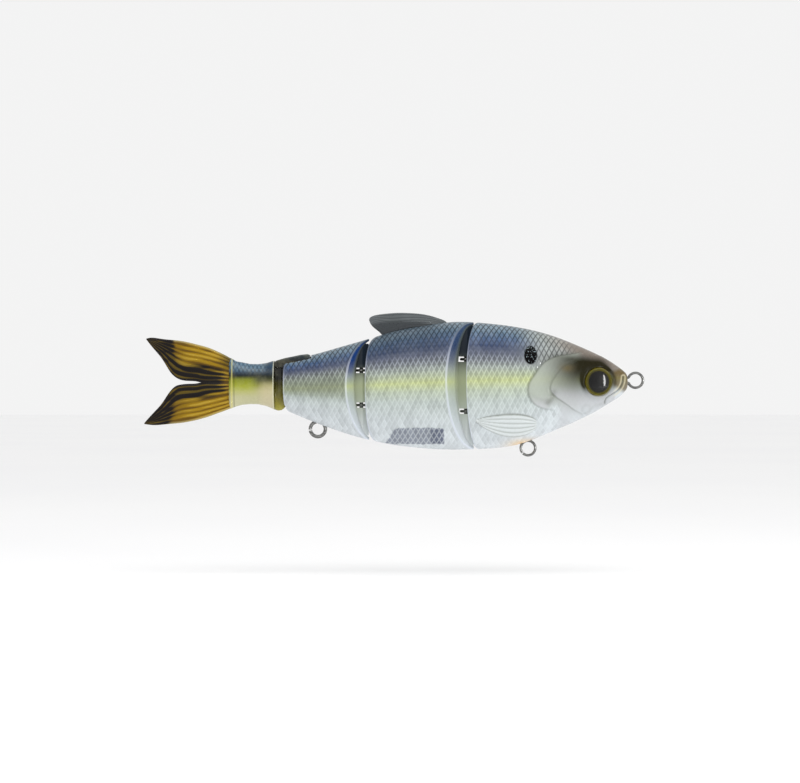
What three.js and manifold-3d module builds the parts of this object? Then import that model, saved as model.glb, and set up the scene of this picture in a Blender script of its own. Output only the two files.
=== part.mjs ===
// A jointed shad swimbait: hollow head, middle and rear sections on two vertical hinge pins, and a soft
// tail that plugs into the rear section. Millimetres, nose towards +X, back towards +Z, and the origin at
// the centre of the line tie ring. The section shells meet at the plane Y = 0.
import * as THREE from 'three';
import { mergeVertices } from 'three/addons/utils/BufferGeometryUtils.js';
import Module from 'manifold-3d';

const wasm = await Module();
wasm.setup();

// ---- Driving dimensions ----

const gap = 0.3; // between pieces that touch
const seam = gap / 2; // half the gap between a left and a right shell
const wall = 2.2; // thickness of a section's shell
const reach = 16; // beyond the widest half of the body
const height = 40; // above and below everything on the body
const overcut = { front: 3, end: 1, side: 0.5 }; // how far a cut runs past the faces it opens
const wireSides = 8;
const roundSides = 24;
const wireRadius = 0.5; // line tie, front hanger and hinge loops

// The body's outline: its top, bottom and half width at a distance x from the line tie.
const bodyStations = [
  { x: -3.1, top: 0.6, bottom: -1.6, half: 0.7 },
  { x: -4.1, top: 2.7, bottom: -3.8, half: 2.4 },
  { x: -5.6, top: 4.2, bottom: -5.6, half: 3.6 },
  { x: -8.6, top: 6.4, bottom: -7.8, half: 5.1 },
  { x: -13.1, top: 9.1, bottom: -10.2, half: 6.8 },
  { x: -21.4, top: 12.9, bottom: -14.9, half: 9.0 },
  { x: -33.4, top: 17.4, bottom: -20.2, half: 10.9 },
  { x: -45.4, top: 20.2, bottom: -24.4, half: 11.6 },
  { x: -57.4, top: 21.6, bottom: -25.7, half: 11.8 },
  { x: -69.4, top: 22.0, bottom: -26.0, half: 11.7 },
  { x: -80.6, top: 20.6, bottom: -25.4, half: 11.4 },
  { x: -90.0, top: 18.7, bottom: -24.3, half: 10.9 },
  { x: -99.8, top: 15.6, bottom: -22.4, half: 10.1 },
  { x: -110.6, top: 12.5, bottom: -19.3, half: 9.0 },
  { x: -121.0, top: 9.7, bottom: -15.5, half: 7.6 },
  { x: -132.6, top: 7.6, bottom: -10.6, half: 6.0 },
];

// The soft stalk behind the body, in the same form.
const stalkStations = [
  { x: -135.2, top: 7.3, bottom: -10.9, half: 5.6 },
  { x: -138.4, top: 6.6, bottom: -9.7, half: 4.9 },
  { x: -142.9, top: 6.1, bottom: -8.9, half: 4.0 },
  { x: -147.4, top: 6.8, bottom: -9.2, half: 3.2 },
  { x: -151.4, top: 8.0, bottom: -10.3, half: 2.4 },
];

const widestLevel = 0.55; // height of the widest line, as a share of the section's depth
const backFullness = 0.95; // under 1 makes the back rounder than an ellipse
const bellyFullness = 1.15; // over 1 draws the belly in to a keel

// A joint's V nose: its ridge is at apex, each face falls back by slope for every millimetre of width,
// and a pocket leaves a flat spine on the centre plane that carries the hinge pin.
const frontJoint = {
  apex: -60.6, slope: 0.9, pin: -63.6, pocketFloor: -66.6, pocketInset: 4.7,
  upper: 7.9, lower: -11.6, pinTop: 12.5, pinBottom: -16,
};
const rearJoint = {
  apex: -99.8, slope: 0.92, pin: -102.8, pocketFloor: -105.8, pocketInset: 3.6,
  upper: 3.7, lower: -9.3, pinTop: 7.8, pinBottom: -13.2,
};
const spineHalf = 2.6;
const pocketRoof = 1.5; // between a pocket and the back or belly
const ridgeWall = 1.35; // the wall behind a V nose's ridge, in shell walls
const hollowEdge = 12; // half width of the plan that cuts a hollow out, past the shell's own
const slotHalf = 1.35;
const hingePinRadius = 0.7;
const loopRadius = 1.8; // centre line of a hinge loop's eye
const shankLength = 11;

// What each section's skin is cut from, and the hollow inside it.
const headSpan = { rear: -68, front: -3.1, hollowRear: -51.5, hollowFront: -24, noseFront: 8 };
const middleSpan = { rear: -103.5, front: -58, hollowRear: -93 };
const rearSpan = { rear: -132.6, front: -97, hollowRear: -117 };

// A section's rear face: its centre, and how far it reaches back for every millimetre of width.
const headRear = { centre: -59.4, slope: 0.39 };
const middleRear = { centre: -99.0, slope: 0.25 };
const rearRear = { centre: -131.5, slope: 0.08 };

const lineTie = {
  ring: 2.78, turn: 150, legGap: 0.75, legEnd: -15, bendStart: -4.4, bendThrough: -3.2,
  channelFront: 5, channelHalf: 1.6,
};
const frontHanger = { x: -40.3, z: -25.4, ring: 2.72, wire: 0.5, shankTop: -14.5, opening: 222 };
const rearHanger = { x: -119.1, z: -18.3, ring: 2.82, wire: 0.68, shankTop: -11.5, opening: 186 };
const ringSweep = { start: 6, turn: 348 }; // a hanger's ring, in degrees, short of closing on itself
const ringRoom = 0.1; // more clearance round a ring than round a shank
const bossRadius = 2.8; // of the solid round a hanger's shank

const eye = {
  x: -14.4, y: 7.0, z: -0.6, yaw: 15, discRadius: 4.9, discThick: 0.8, discBack: 1.2,
  lensRadius: 5.3, lensRise: 1.84, lensBase: 0.5, lensSteps: 6, socketDepth: 8, socketMiddle: 2.1,
};
const tailPivot = { x: -133.4, radius: 2.45 };
const neck = { half: 2.45, top: 7.7, bottom: -11.0, front: -131.2, rear: -136 };
const tongue = { front: -123.5, top: 5.2, bottom: -9.4, key: -124.9, keyRadius: 3.1 };
const tab = {
  front: -121.8, half: 3.4, overlap: 2, rearTop: 7.7, rearLow: 4.5, bend: -128.5, frontLow: 7.3, frontTop: 9.8,
};
const tailWay = { rear: -133, tabFloor: 7, tongueFloor: 4, top: 20, half: 9 }; // open upwards from the socket

// The tail fin's outline: each lobe's outer edge and its side of the fork, in order round the fin.
const fin = {
  thick: 1.6, edgeSteps: 10, shortest: 0.01,
  edges: [
    [[-151.7, 8.3], [-156.4, 10.6], [-162.4, 12.8], [-170.6, 14.8], [-178.1, 15.6], [-183.6, 15.7]],
    [[-183.6, 15.7], [-180.4, 11.4], [-177, 6.8], [-174.2, 2.6], [-170.6, 0.2], [-167.6, -0.4],
      [-163.8, -0.45]],
    [[-163.8, -1.15], [-167.6, -1.2], [-170.6, -1.6], [-173.6, -3.2], [-177.2, -7.6], [-181, -12.6],
      [-184.3, -16.3]],
    [[-184.3, -16.3], [-180.4, -16.7], [-172.1, -16.1], [-164.6, -15], [-156.4, -12.4], [-151.7, -10.7]],
  ],
};

// The dorsal fin's free edge from its front, then the two ends of its root, and the slot for the root.
const dorsal = {
  thick: 1.6, edgeSteps: 30,
  edge: [
    [-70.6, 21.9], [-73.1, 23.2], [-77, 24.3], [-82, 25], [-88.1, 25.3], [-93.4, 25], [-98, 24.4],
    [-99.9, 23.5], [-99.7, 21.9], [-98, 19.6], [-95.6, 18],
  ],
  root: [[-95.0, 16.2], [-71.2, 19.5]],
  slot: [[-96.5, 15.8], [-70.5, 19.2], [-70.5, 30], [-96.5, 30]],
};

// The keel weights inside the belly.
const ballastHalf = 6;
const ballast = [
  { name: 'head_ballast', rear: -50.5, front: -44.2, lowest: -24, highest: -14 },
  { name: 'middle_ballast_bar', rear: -91.6, front: -77.2, lowest: -24, highest: -17.7 },
  { name: 'middle_ballast_slug', rear: -76.8, front: -71.6, lowest: -24, highest: -17.7 },
];

// ---- Materials ----

const material = (color, roughness, metalness) =>
  new THREE.MeshStandardMaterial({ color, roughness, metalness });
const paintedShell = material(0xb9c2c8, 0.25, 0.1);
const wire = material(0x8a8a88, 0.25, 1);
const ballastMetal = material(0x7d828c, 0.5, 0.8);
const irisGold = material(0x8d8431, 0.35, 0.4);
const clearLens = material(0x202428, 0.05, 0);
const dorsalGrey = material(0x6d7476, 0.4, 0);
const softTail = material(0x9f9a55, 0.4, 0);
const finAmber = material(0x9a7a22, 0.35, 0);

// ---- Helpers ----

const solidOf = (geometry) => {
  const plain = geometry.index ? geometry.toNonIndexed() : geometry.clone();
  plain.deleteAttribute('normal');
  plain.deleteAttribute('uv');
  const merged = mergeVertices(plain, 1e-4);
  return new wasm.Manifold(new wasm.Mesh({
    numProp: 3,
    vertProperties: new Float32Array(merged.attributes.position.array),
    triVerts: new Uint32Array(merged.index.array),
  }));
};

const root = new THREE.Group();

const addSolid = (name, solid, finish, parent = root) => {
  const shape = solid.getMesh();
  const geometry = new THREE.BufferGeometry();
  geometry.setAttribute('position', new THREE.BufferAttribute(shape.vertProperties, 3));
  geometry.setIndex(new THREE.BufferAttribute(shape.triVerts, 1));
  geometry.computeVertexNormals();
  const mesh = new THREE.Mesh(geometry, finish);
  mesh.name = name;
  parent.add(mesh);
  return mesh;
};

const box = (x0, x1, y0, y1, z0, z1) => {
  const geometry = new THREE.BoxGeometry(x1 - x0, y1 - y0, z1 - z0);
  geometry.translate((x0 + x1) / 2, (y0 + y1) / 2, (z0 + z1) / 2);
  return solidOf(geometry);
};

const uprightRod = (x, z0, z1, radius, sides = 12) => {
  const geometry = new THREE.CylinderGeometry(radius, radius, z1 - z0, sides);
  geometry.rotateX(Math.PI / 2);
  geometry.translate(x, 0, (z0 + z1) / 2);
  return solidOf(geometry);
};

const rodAlongX = (x0, x1, z, radius, sides = wireSides) => {
  const geometry = new THREE.CylinderGeometry(radius, radius, x1 - x0, sides);
  geometry.rotateZ(Math.PI / 2);
  geometry.translate((x0 + x1) / 2, 0, z);
  return solidOf(geometry);
};

// A monotone curve through the stations, so that the outline never bulges between two of them.
const outlineAt = (stations, key, x) => {
  const last = stations.length - 1;
  if (x >= stations[0].x) return stations[0][key];
  if (x <= stations[last].x) return stations[last][key];
  let i = 0;
  while (stations[i + 1].x > x) i += 1;
  const rise = (k) => (stations[k + 1][key] - stations[k][key]) / (stations[k + 1].x - stations[k].x);
  const slopeAt = (k) => {
    if (k === 0) return rise(0);
    if (k === last) return rise(last - 1);
    const before = rise(k - 1);
    const after = rise(k);
    return before * after <= 0 ? 0 : (2 * before * after) / (before + after);
  };
  const width = stations[i + 1].x - stations[i].x;
  const t = (x - stations[i].x) / width;
  return (2 * t ** 3 - 3 * t ** 2 + 1) * stations[i][key]
    + (t ** 3 - 2 * t ** 2 + t) * width * slopeAt(i)
    + (3 * t ** 2 - 2 * t ** 3) * stations[i + 1][key]
    + (t ** 3 - t ** 2) * width * slopeAt(i + 1);
};

// A closed body between two distances, drawn in by inset all round, or by sideInset at its sides: a
// capped cylinder whose rings take the shape of the outline's cross-section.
const loft = (stations, rear, front, inset, steps, around = 28, sideInset = inset) => {
  const geometry = new THREE.CylinderGeometry(1, 1, 1, around, steps);
  const place = geometry.attributes.position;
  for (let i = 0; i < place.count; i += 1) {
    const up = place.getX(i);
    const side = place.getZ(i);
    const x = rear + (place.getY(i) + 0.5) * (front - rear);
    const top = outlineAt(stations, 'top', x) - inset;
    const bottom = outlineAt(stations, 'bottom', x) + inset;
    const half = outlineAt(stations, 'half', x) - sideInset;
    const level = bottom + widestLevel * (top - bottom);
    const fullness = up >= 0 ? backFullness : bellyFullness;
    const y = half * Math.sign(side) * Math.abs(side) ** fullness;
    const z = level + up * (up >= 0 ? top - level : level - bottom);
    place.setXYZ(i, x, y, z);
  }
  return solidOf(geometry);
};

// A prism that stands through the whole body on an outline seen from above.
const planPrism = (points) => {
  const shape = new THREE.Shape(points.map(([x, y]) => new THREE.Vector2(x, y)));
  const geometry = new THREE.ExtrudeGeometry(shape, { depth: 2 * height, bevelEnabled: false });
  geometry.translate(0, 0, -height);
  return solidOf(geometry);
};

const smoothEdge = (points, steps) => {
  const curve = new THREE.SplineCurve(points.map(([x, z]) => new THREE.Vector2(x, z)));
  return curve.getPoints(steps).map((p) => [p.x, p.y]);
};

// A plate on the centre plane with an outline seen from the side.
const sidePlate = (points, thick) => {
  const shape = new THREE.Shape(points.map(([x, z]) => new THREE.Vector2(x, z)));
  const geometry = new THREE.ExtrudeGeometry(shape, { depth: thick, bevelEnabled: false });
  geometry.translate(0, 0, -thick / 2);
  geometry.rotateX(Math.PI / 2);
  return solidOf(geometry);
};

// An eight-sided wire along a curve. Its flats face along and across the plane of the curve.
const sweptWire = (curve, radius, steps) => {
  const corner = (k) => new THREE.Vector2(
    radius * Math.cos((k + 0.5) * 2 * Math.PI / wireSides),
    radius * Math.sin((k + 0.5) * 2 * Math.PI / wireSides),
  );
  const section = new THREE.Shape(Array.from({ length: wireSides }, (_, k) => corner(k)));
  return solidOf(new THREE.ExtrudeGeometry(section, { steps, extrudePath: curve }));
};

// An arc in the plane Y = 0, in degrees, anticlockwise as seen from -Y.
class UprightArc extends THREE.Curve {
  constructor(x, z, radius, from, sweep) {
    super();
    Object.assign(this, { x, z, radius, from, sweep });
  }

  getPoint(t) {
    const a = THREE.MathUtils.degToRad(this.from + t * this.sweep);
    return new THREE.Vector3(this.x + this.radius * Math.cos(a), 0, this.z + this.radius * Math.sin(a));
  }
}

const ring = (x, z, radius, tube, opening) =>
  sweptWire(new UprightArc(x, z, radius, opening + ringSweep.start, ringSweep.turn), tube, 30);

// ---- Body sections ----

// One side of a section as seen from above, between its front faces and its rear face.
const sidePlan = (side, frontX, frontSlope, rear, setback = 0) => planPrism([
  [frontX - setback - frontSlope * seam, side * seam],
  [frontX - setback - frontSlope * reach, side * reach],
  [rear.centre + setback - rear.slope * reach, side * reach],
  [rear.centre + setback - rear.slope * seam, side * seam],
]);

const pocketAndSlots = (joint) => {
  const front = joint.apex + overcut.front;
  const inner = loft(bodyStations, joint.pocketFloor, front, pocketRoof, 2, 28, joint.pocketInset);
  const spine = box(joint.pocketFloor - overcut.end, front + overcut.end,
    -spineHalf, spineHalf, -height, height);
  const side = spineHalf + overcut.side;
  const slots = [joint.upper, joint.lower].map((z) =>
    box(joint.pocketFloor, front, -side, side, z - slotHalf, z + slotHalf));
  const pinBore = uprightRod(joint.pin, joint.pinBottom - gap, joint.pinTop + gap, hingePinRadius + gap);
  return inner.subtract(spine).add(slots[0]).add(slots[1]).add(pinBore);
};

const shankBores = (joint) => {
  const bore = (z) => rodAlongX(joint.pin, joint.pin + shankLength + gap, z, wireRadius + gap);
  return bore(joint.upper).add(bore(joint.lower));
};

// The hollow behind a V nose as seen from above, a wall's thickness clear of the nose all along.
const hollowPlan = (side, joint, rear) => {
  const front = joint.pocketFloor - wall;
  const ridge = joint.apex - ridgeWall * wall;
  return planPrism([
    [front, -side],
    [front, side * (ridge - front) / joint.slope],
    [ridge - joint.slope * hollowEdge, side * hollowEdge],
    [rear, side * hollowEdge],
    [rear, -side],
  ]);
};

const hangerBore = (hanger) => {
  const room = hanger.wire + gap;
  const shank = uprightRod(hanger.x, hanger.z, hanger.shankTop + gap, room, wireSides);
  return shank.add(ring(hanger.x, hanger.z, hanger.ring, room + ringRoom, hanger.opening));
};

const hangerBoss = (hanger) => uprightRod(hanger.x, hanger.z, hanger.shankTop + wall, bossRadius);

const makeEyeFrame = (side) => {
  const frame = new THREE.Group();
  frame.position.set(eye.x, side * eye.y, eye.z);
  frame.rotation.z = THREE.MathUtils.degToRad(side > 0 ? -eye.yaw : 180 + eye.yaw);
  frame.updateMatrixWorld(true);
  return frame;
};

const eyeSocket = (side) => {
  const radius = eye.lensRadius + gap;
  const geometry = new THREE.CylinderGeometry(radius, radius, eye.socketDepth, roundSides);
  geometry.translate(0, eye.socketMiddle, 0);
  geometry.applyMatrix4(makeEyeFrame(side).matrixWorld);
  return solidOf(geometry);
};

const makeHeadShells = () => {
  const skin = loft(bodyStations, headSpan.rear, headSpan.front, 0, 15);
  const cavity = loft(bodyStations, headSpan.hollowRear, headSpan.hollowFront, wall, 5)
    .subtract(hangerBoss(frontHanger));
  const tieHalf = wireRadius + gap;
  const tieChannel = box(lineTie.legEnd - gap, lineTie.channelFront, -tieHalf, tieHalf,
    -lineTie.channelHalf, lineTie.channelHalf);
  const cuts = cavity.add(tieChannel).add(shankBores(frontJoint)).add(hangerBore(frontHanger));
  for (const [name, side] of [['head_shell_right', -1], ['head_shell_left', 1]]) {
    const half = skin.intersect(sidePlan(side, headSpan.noseFront, 0, headRear));
    addSolid(name, half.subtract(cuts).subtract(eyeSocket(side)), paintedShell);
  }
};

// The dorsal fin's root slot, cut down into the back.
const dorsalSlot = () => sidePlate(dorsal.slot, dorsal.thick + 2 * gap);

const makeMiddleShells = () => {
  const skin = loft(bodyStations, middleSpan.rear, middleSpan.front, 0, 10);
  const inner = loft(bodyStations, middleSpan.hollowRear, frontJoint.pocketFloor - wall, wall, 4);
  const cuts = pocketAndSlots(frontJoint).add(shankBores(rearJoint)).add(dorsalSlot());
  for (const [name, side] of [['middle_shell_right', -1], ['middle_shell_left', 1]]) {
    const plan = sidePlan(side, frontJoint.apex, frontJoint.slope, middleRear);
    const room = hollowPlan(side, frontJoint, middleSpan.hollowRear);
    addSolid(name, skin.intersect(plan).subtract(inner.intersect(room)).subtract(cuts), paintedShell);
  }
};

// The tail's tongue and tab, grown by a clearance so that the same shape cuts their socket.
const tailPlugShape = (room) => {
  const blade = box(tailPivot.x - room, tongue.front + room, -neck.half - room, neck.half + room,
    tongue.bottom - room, tongue.top + room);
  const strap = sidePlate([
    [tailPivot.x - tab.overlap, tab.rearTop + room], [tailPivot.x - tab.overlap, tab.rearLow],
    [tab.bend, tab.rearLow - room],
    [tab.front + room, tab.frontLow - room], [tab.front + room, tab.frontTop + room],
  ], 2 * (tab.half + room));
  const edge = box(tailPivot.x - room, neck.front, -neck.half - room, neck.half + room,
    neck.bottom - room, neck.top + room);
  const key = uprightRod(tongue.key, tongue.bottom - room, tongue.top + room, tongue.keyRadius + room, 20);
  return blade.add(strap).add(edge).add(key);
};

const makeRearShells = () => {
  const skin = loft(bodyStations, rearSpan.rear, rearSpan.front, 0, 9);
  const inner = loft(bodyStations, rearSpan.hollowRear, rearJoint.pocketFloor - wall, wall, 2)
    .subtract(hangerBoss(rearHanger));
  const tabHalf = tab.half + gap;
  const neckHalf = neck.half + gap;
  const { rear, tabFloor, tongueFloor, top } = tailWay;
  const wayOut = box(rear, tab.front + gap, -tabHalf, tabHalf, tabFloor, top)
    .add(box(rear, tongue.front + gap, -neckHalf, neckHalf, tongueFloor, top))
    .add(uprightRod(tongue.key, tongueFloor, top, tongue.keyRadius + gap, 20));
  const socket = tailPlugShape(gap).add(wayOut)
    .add(uprightRod(tailPivot.x, -top, top, tailPivot.radius + 2 * gap, roundSides));
  const cuts = pocketAndSlots(rearJoint).add(socket).add(hangerBore(rearHanger));
  for (const [name, side] of [['rear_shell_right', -1], ['rear_shell_left', 1]]) {
    const plan = sidePlan(side, rearJoint.apex, rearJoint.slope, rearRear);
    const room = hollowPlan(side, rearJoint, rearSpan.hollowRear);
    addSolid(name, skin.intersect(plan).subtract(inner.intersect(room)).subtract(cuts), paintedShell);
  }
};

// ---- Hinges ----

const makeHinge = (prefix, joint) => {
  addSolid(`${prefix}_hinge_pin`, uprightRod(joint.pin, joint.pinBottom, joint.pinTop, hingePinRadius), wire);
  for (const [place, z] of [['upper', joint.upper], ['lower', joint.lower]]) {
    const eyeGeometry = new THREE.TorusGeometry(loopRadius, wireRadius, wireSides, 20);
    eyeGeometry.translate(joint.pin, 0, z);
    const shank = rodAlongX(joint.pin + loopRadius, joint.pin + shankLength, z, wireRadius);
    addSolid(`${prefix}_hinge_${place}_loop`, solidOf(eyeGeometry).add(shank), wire);
  }
};

// ---- Wire fittings ----

// The line tie is one wire: a ring whose two ends turn and run side by side into the nose.
const makeLineTie = () => {
  const path = new THREE.CurvePath();
  const start = new UprightArc(0, 0, lineTie.ring, lineTie.turn, -2 * lineTie.turn);
  const onRing = start.getPoint(0);
  const legTop = new THREE.Vector3(lineTie.bendStart, 0, lineTie.legGap);
  const control = new THREE.Vector3(lineTie.bendThrough, 0, lineTie.legGap);
  const mirrored = (p) => new THREE.Vector3(p.x, 0, -p.z);
  const legEnd = new THREE.Vector3(lineTie.legEnd, 0, lineTie.legGap);
  path.add(new THREE.LineCurve3(legEnd, legTop));
  path.add(new THREE.QuadraticBezierCurve3(legTop, control, onRing));
  path.add(start);
  path.add(new THREE.QuadraticBezierCurve3(mirrored(onRing), mirrored(control), mirrored(legTop)));
  path.add(new THREE.LineCurve3(mirrored(legTop), mirrored(legEnd)));
  addSolid('line_tie', sweptWire(path, wireRadius, 64), wire);
};

const makeHanger = (name, hanger) => {
  const shank = uprightRod(hanger.x, hanger.z + hanger.ring, hanger.shankTop, hanger.wire, wireSides);
  addSolid(name, ring(hanger.x, hanger.z, hanger.ring, hanger.wire, hanger.opening).add(shank), wire);
};

// ---- Ballast ----

// A keel weight: the inside of the belly, cut to length and height.
const makeBallast = ({ name, rear, front, lowest, highest }) => {
  const keel = loft(bodyStations, rear, front, wall + gap, 2, 20);
  const cut = box(rear - overcut.end, front + overcut.end, -ballastHalf, ballastHalf, lowest, highest);
  addSolid(name, keel.intersect(cut), ballastMetal);
};

// ---- Eyes ----

const makeEye = (name, side) => {
  const frame = makeEyeFrame(side);
  const disc = new THREE.CylinderGeometry(eye.discRadius, eye.discRadius, eye.discThick, roundSides);
  disc.translate(0, -eye.discBack, 0);
  addSolid(`${name}_eye_disc`, solidOf(disc), irisGold, frame);
  const profile = [new THREE.Vector2(0, -eye.lensBase), new THREE.Vector2(eye.lensRadius, -eye.lensBase)];
  for (let i = 0; i <= eye.lensSteps; i += 1) {
    const a = (i / eye.lensSteps) * Math.PI / 2;
    profile.push(new THREE.Vector2(eye.lensRadius * Math.cos(a), eye.lensRise * Math.sin(a)));
  }
  addSolid(`${name}_eye_lens`, solidOf(new THREE.LatheGeometry(profile, roundSides)), clearLens, frame);
  root.add(frame);
};

// ---- Fins and tail ----

const makeDorsalFin = () => {
  const points = smoothEdge(dorsal.edge, dorsal.edgeSteps).concat(dorsal.root);
  addSolid('dorsal_fin', sidePlate(points, dorsal.thick), dorsalGrey);
};

const makeTail = () => {
  const { top, half } = tailWay;
  const clear = uprightRod(tailPivot.x, -top, top, tailPivot.radius + gap, roundSides);
  const plug = tailPlugShape(0).intersect(box(tailPivot.x, 0, -half, half, -top, top)).subtract(clear);
  addSolid('tail_plug', plug, softTail);

  const stalk = loft(stalkStations, stalkStations.at(-1).x, stalkStations[0].x, 0, 6, roundSides);
  const neckBlade = box(neck.rear, tailPivot.x, -neck.half, neck.half, neck.bottom, neck.top);
  const knuckle = uprightRod(tailPivot.x, neck.bottom, neck.top, tailPivot.radius, roundSides);
  addSolid('tail_stalk', stalk.add(neckBlade).add(knuckle), softTail);

  const outline = fin.edges
    .flatMap((edge) => smoothEdge(edge, fin.edgeSteps))
    .filter((p, i, all) => i === 0 || Math.hypot(p[0] - all[i - 1][0], p[1] - all[i - 1][1]) > fin.shortest);
  addSolid('tail_fin', sidePlate(outline, fin.thick), finAmber);
};

makeHeadShells();
makeMiddleShells();
makeRearShells();
makeHinge('front', frontJoint);
makeHinge('rear', rearJoint);
makeLineTie();
makeHanger('front_belly_hanger', frontHanger);
makeHanger('rear_belly_hanger', rearHanger);
ballast.forEach(makeBallast);
makeEye('right', -1);
makeEye('left', 1);
makeDorsalFin();
makeTail();

export default root;
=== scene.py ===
import math

import bpy
import numpy as np
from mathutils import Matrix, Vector


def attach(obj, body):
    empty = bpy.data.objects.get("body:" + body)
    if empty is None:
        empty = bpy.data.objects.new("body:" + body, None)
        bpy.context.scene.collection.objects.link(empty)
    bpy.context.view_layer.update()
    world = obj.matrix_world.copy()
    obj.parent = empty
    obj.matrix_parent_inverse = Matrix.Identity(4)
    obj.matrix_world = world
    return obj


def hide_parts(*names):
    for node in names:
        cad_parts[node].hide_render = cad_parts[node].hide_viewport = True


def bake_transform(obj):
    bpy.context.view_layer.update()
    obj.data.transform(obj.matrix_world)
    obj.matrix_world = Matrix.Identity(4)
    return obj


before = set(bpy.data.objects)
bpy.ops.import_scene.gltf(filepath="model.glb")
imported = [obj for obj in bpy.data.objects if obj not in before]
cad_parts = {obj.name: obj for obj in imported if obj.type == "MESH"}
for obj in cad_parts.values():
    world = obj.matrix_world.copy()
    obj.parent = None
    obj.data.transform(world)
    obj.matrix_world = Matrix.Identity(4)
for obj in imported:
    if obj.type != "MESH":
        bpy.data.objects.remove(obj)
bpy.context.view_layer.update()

mm = 0.001
seamGap = 0.05  # half the parting line between a left and a right shell


# ways of working in Blender

def clearSelection():
    if bpy.context.object and bpy.context.object.mode != "OBJECT":
        bpy.ops.object.mode_set(mode="OBJECT")
    bpy.ops.object.select_all(action="DESELECT")


def pick(obj):
    clearSelection()
    obj.select_set(True)
    bpy.context.view_layer.objects.active = obj


def editAll(obj, *steps):
    pick(obj)
    bpy.ops.object.mode_set(mode="EDIT")
    bpy.ops.mesh.select_mode(type="VERT")
    for step in steps:
        bpy.ops.mesh.select_all(action="SELECT")
        step()
    bpy.ops.object.mode_set(mode="OBJECT")


def applyModifier(obj, kind, **settings):
    pick(obj)
    modifier = obj.modifiers.new(kind.title(), kind)
    for key, value in settings.items():
        setattr(modifier, key, value)
    bpy.ops.object.modifier_apply(modifier=modifier.name)


def smooth(obj, degrees=50):
    pick(obj)
    bpy.ops.object.shade_smooth_by_angle(angle=math.radians(degrees), keep_sharp_edges=False)


def newObject(name):
    obj = bpy.context.object
    obj.name = name
    obj.data.name = name
    return obj


def joinTo(main, other):
    pick(other)
    main.select_set(True)
    bpy.context.view_layer.objects.active = main
    bpy.ops.object.join()


def putMarks(obj, marks):  # one number per point for each mark; the paints read them
    for key, values in marks.items():
        flat = np.ascontiguousarray(values, dtype=np.float32)
        obj.data.attributes.new(key, "FLOAT", "POINT").data.foreach_set("value", flat)


def sheetPiece(name, points, marks=None, merge=0.002):  # points is (columns, rows, 3) in mm
    clearSelection()
    columns, rows = points.shape[:2]
    bpy.ops.mesh.primitive_grid_add(x_subdivisions=columns - 1, y_subdivisions=rows - 1, size=1)
    obj = newObject(name)
    place = np.ascontiguousarray(points.transpose(1, 0, 2).reshape(-1, 3) * mm, dtype=np.float32)
    obj.data.vertices.foreach_set("co", place.ravel())
    putMarks(obj, {key: values.T.reshape(-1) for key, values in (marks or {}).items()})
    obj.data.update()
    editAll(
        obj,
        lambda: bpy.ops.mesh.remove_doubles(threshold=merge * mm),
        lambda: bpy.ops.mesh.fill_holes(sides=0),
        lambda: bpy.ops.mesh.normals_make_consistent(inside=False),
    )
    smooth(obj)
    return obj


def mirrored(obj, name):
    other = obj.copy()
    other.data = obj.data.copy()
    other.name = name
    other.data.name = name
    bpy.context.collection.objects.link(other)
    size = len(other.data.vertices)
    place = np.empty(size * 3, dtype=np.float32)
    other.data.vertices.foreach_get("co", place)
    place[1::3] *= -1
    other.data.vertices.foreach_set("co", place)
    editAll(other, lambda: bpy.ops.mesh.flip_normals())
    return other


def belongs(obj, body, slotName, *nodes):
    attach(obj, body)
    if nodes:
        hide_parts(*nodes)


# curves and masks, in millimetres

def curveThrough(knots, values):  # a natural cubic curve through the stations
    knots, values = np.asarray(knots, float), np.asarray(values, float)
    gaps = np.diff(knots)
    size = len(knots)
    system, right = np.eye(size), np.zeros(size)
    for i in range(1, size - 1):
        system[i, i - 1:i + 2] = gaps[i - 1], 2 * (gaps[i - 1] + gaps[i]), gaps[i]
        right[i] = 6 * ((values[i + 1] - values[i]) / gaps[i] - (values[i] - values[i - 1]) / gaps[i - 1])
    bend = np.linalg.solve(system, right)

    def at(q):
        q = np.clip(q, knots[0], knots[-1])
        i = np.clip(np.searchsorted(knots, q) - 1, 0, size - 2)
        h, a, b = gaps[i], knots[i + 1] - q, q - knots[i]
        return (
            (bend[i] * a**3 + bend[i + 1] * b**3) / (6 * h)
            + (values[i] / h - bend[i] * h / 6) * a
            + (values[i + 1] / h - bend[i + 1] * h / 6) * b
        )

    return at


def lineThrough(points, count=60):  # evenly sampled points on a smooth line
    points = np.asarray(points, float)
    along = np.concatenate([[0], np.cumsum(np.linalg.norm(np.diff(points, axis=0), axis=1))])
    spread = np.linspace(0, along[-1], count)
    return np.stack([curveThrough(along, points[:, k])(spread) for k in range(points.shape[1])], axis=1)


def ease(low, high, value):
    t = np.clip((value - low) / (high - low), 0, 1)
    return t * t * (3 - 2 * t)


def farFrom(x, z, line):  # distance to an open line
    best = np.full(x.shape, 1e9)
    for (x0, z0), (x1, z1) in zip(line[:-1], line[1:]):
        dx, dz = x1 - x0, z1 - z0
        t = np.clip(((x - x0) * dx + (z - z0) * dz) / (dx * dx + dz * dz + 1e-12), 0, 1)
        best = np.minimum(best, np.hypot(x - x0 - t * dx, z - z0 - t * dz))
    return best


def within(x, z, ring):  # whether points lie inside a closed outline
    inside = np.zeros(x.shape, bool)
    for (x0, z0), (x1, z1) in zip(ring, np.roll(ring, -1, axis=0)):
        crosses = (z0 > z) != (z1 > z)
        inside ^= crosses & (x < (x1 - x0) * (z - z0) / (z1 - z0 + 1e-12) + x0)
    return inside


def bump(distance, width):
    return np.exp(-((distance / width) ** 2))


def roundEdge(distance, width, least=0.02):  # share of a plate's thickness at a distance from its edge
    return np.sqrt(np.clip(1 - (1 - np.clip(distance / width, 0, 1)) ** 2, least, 1))


# the body's outline

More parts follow.
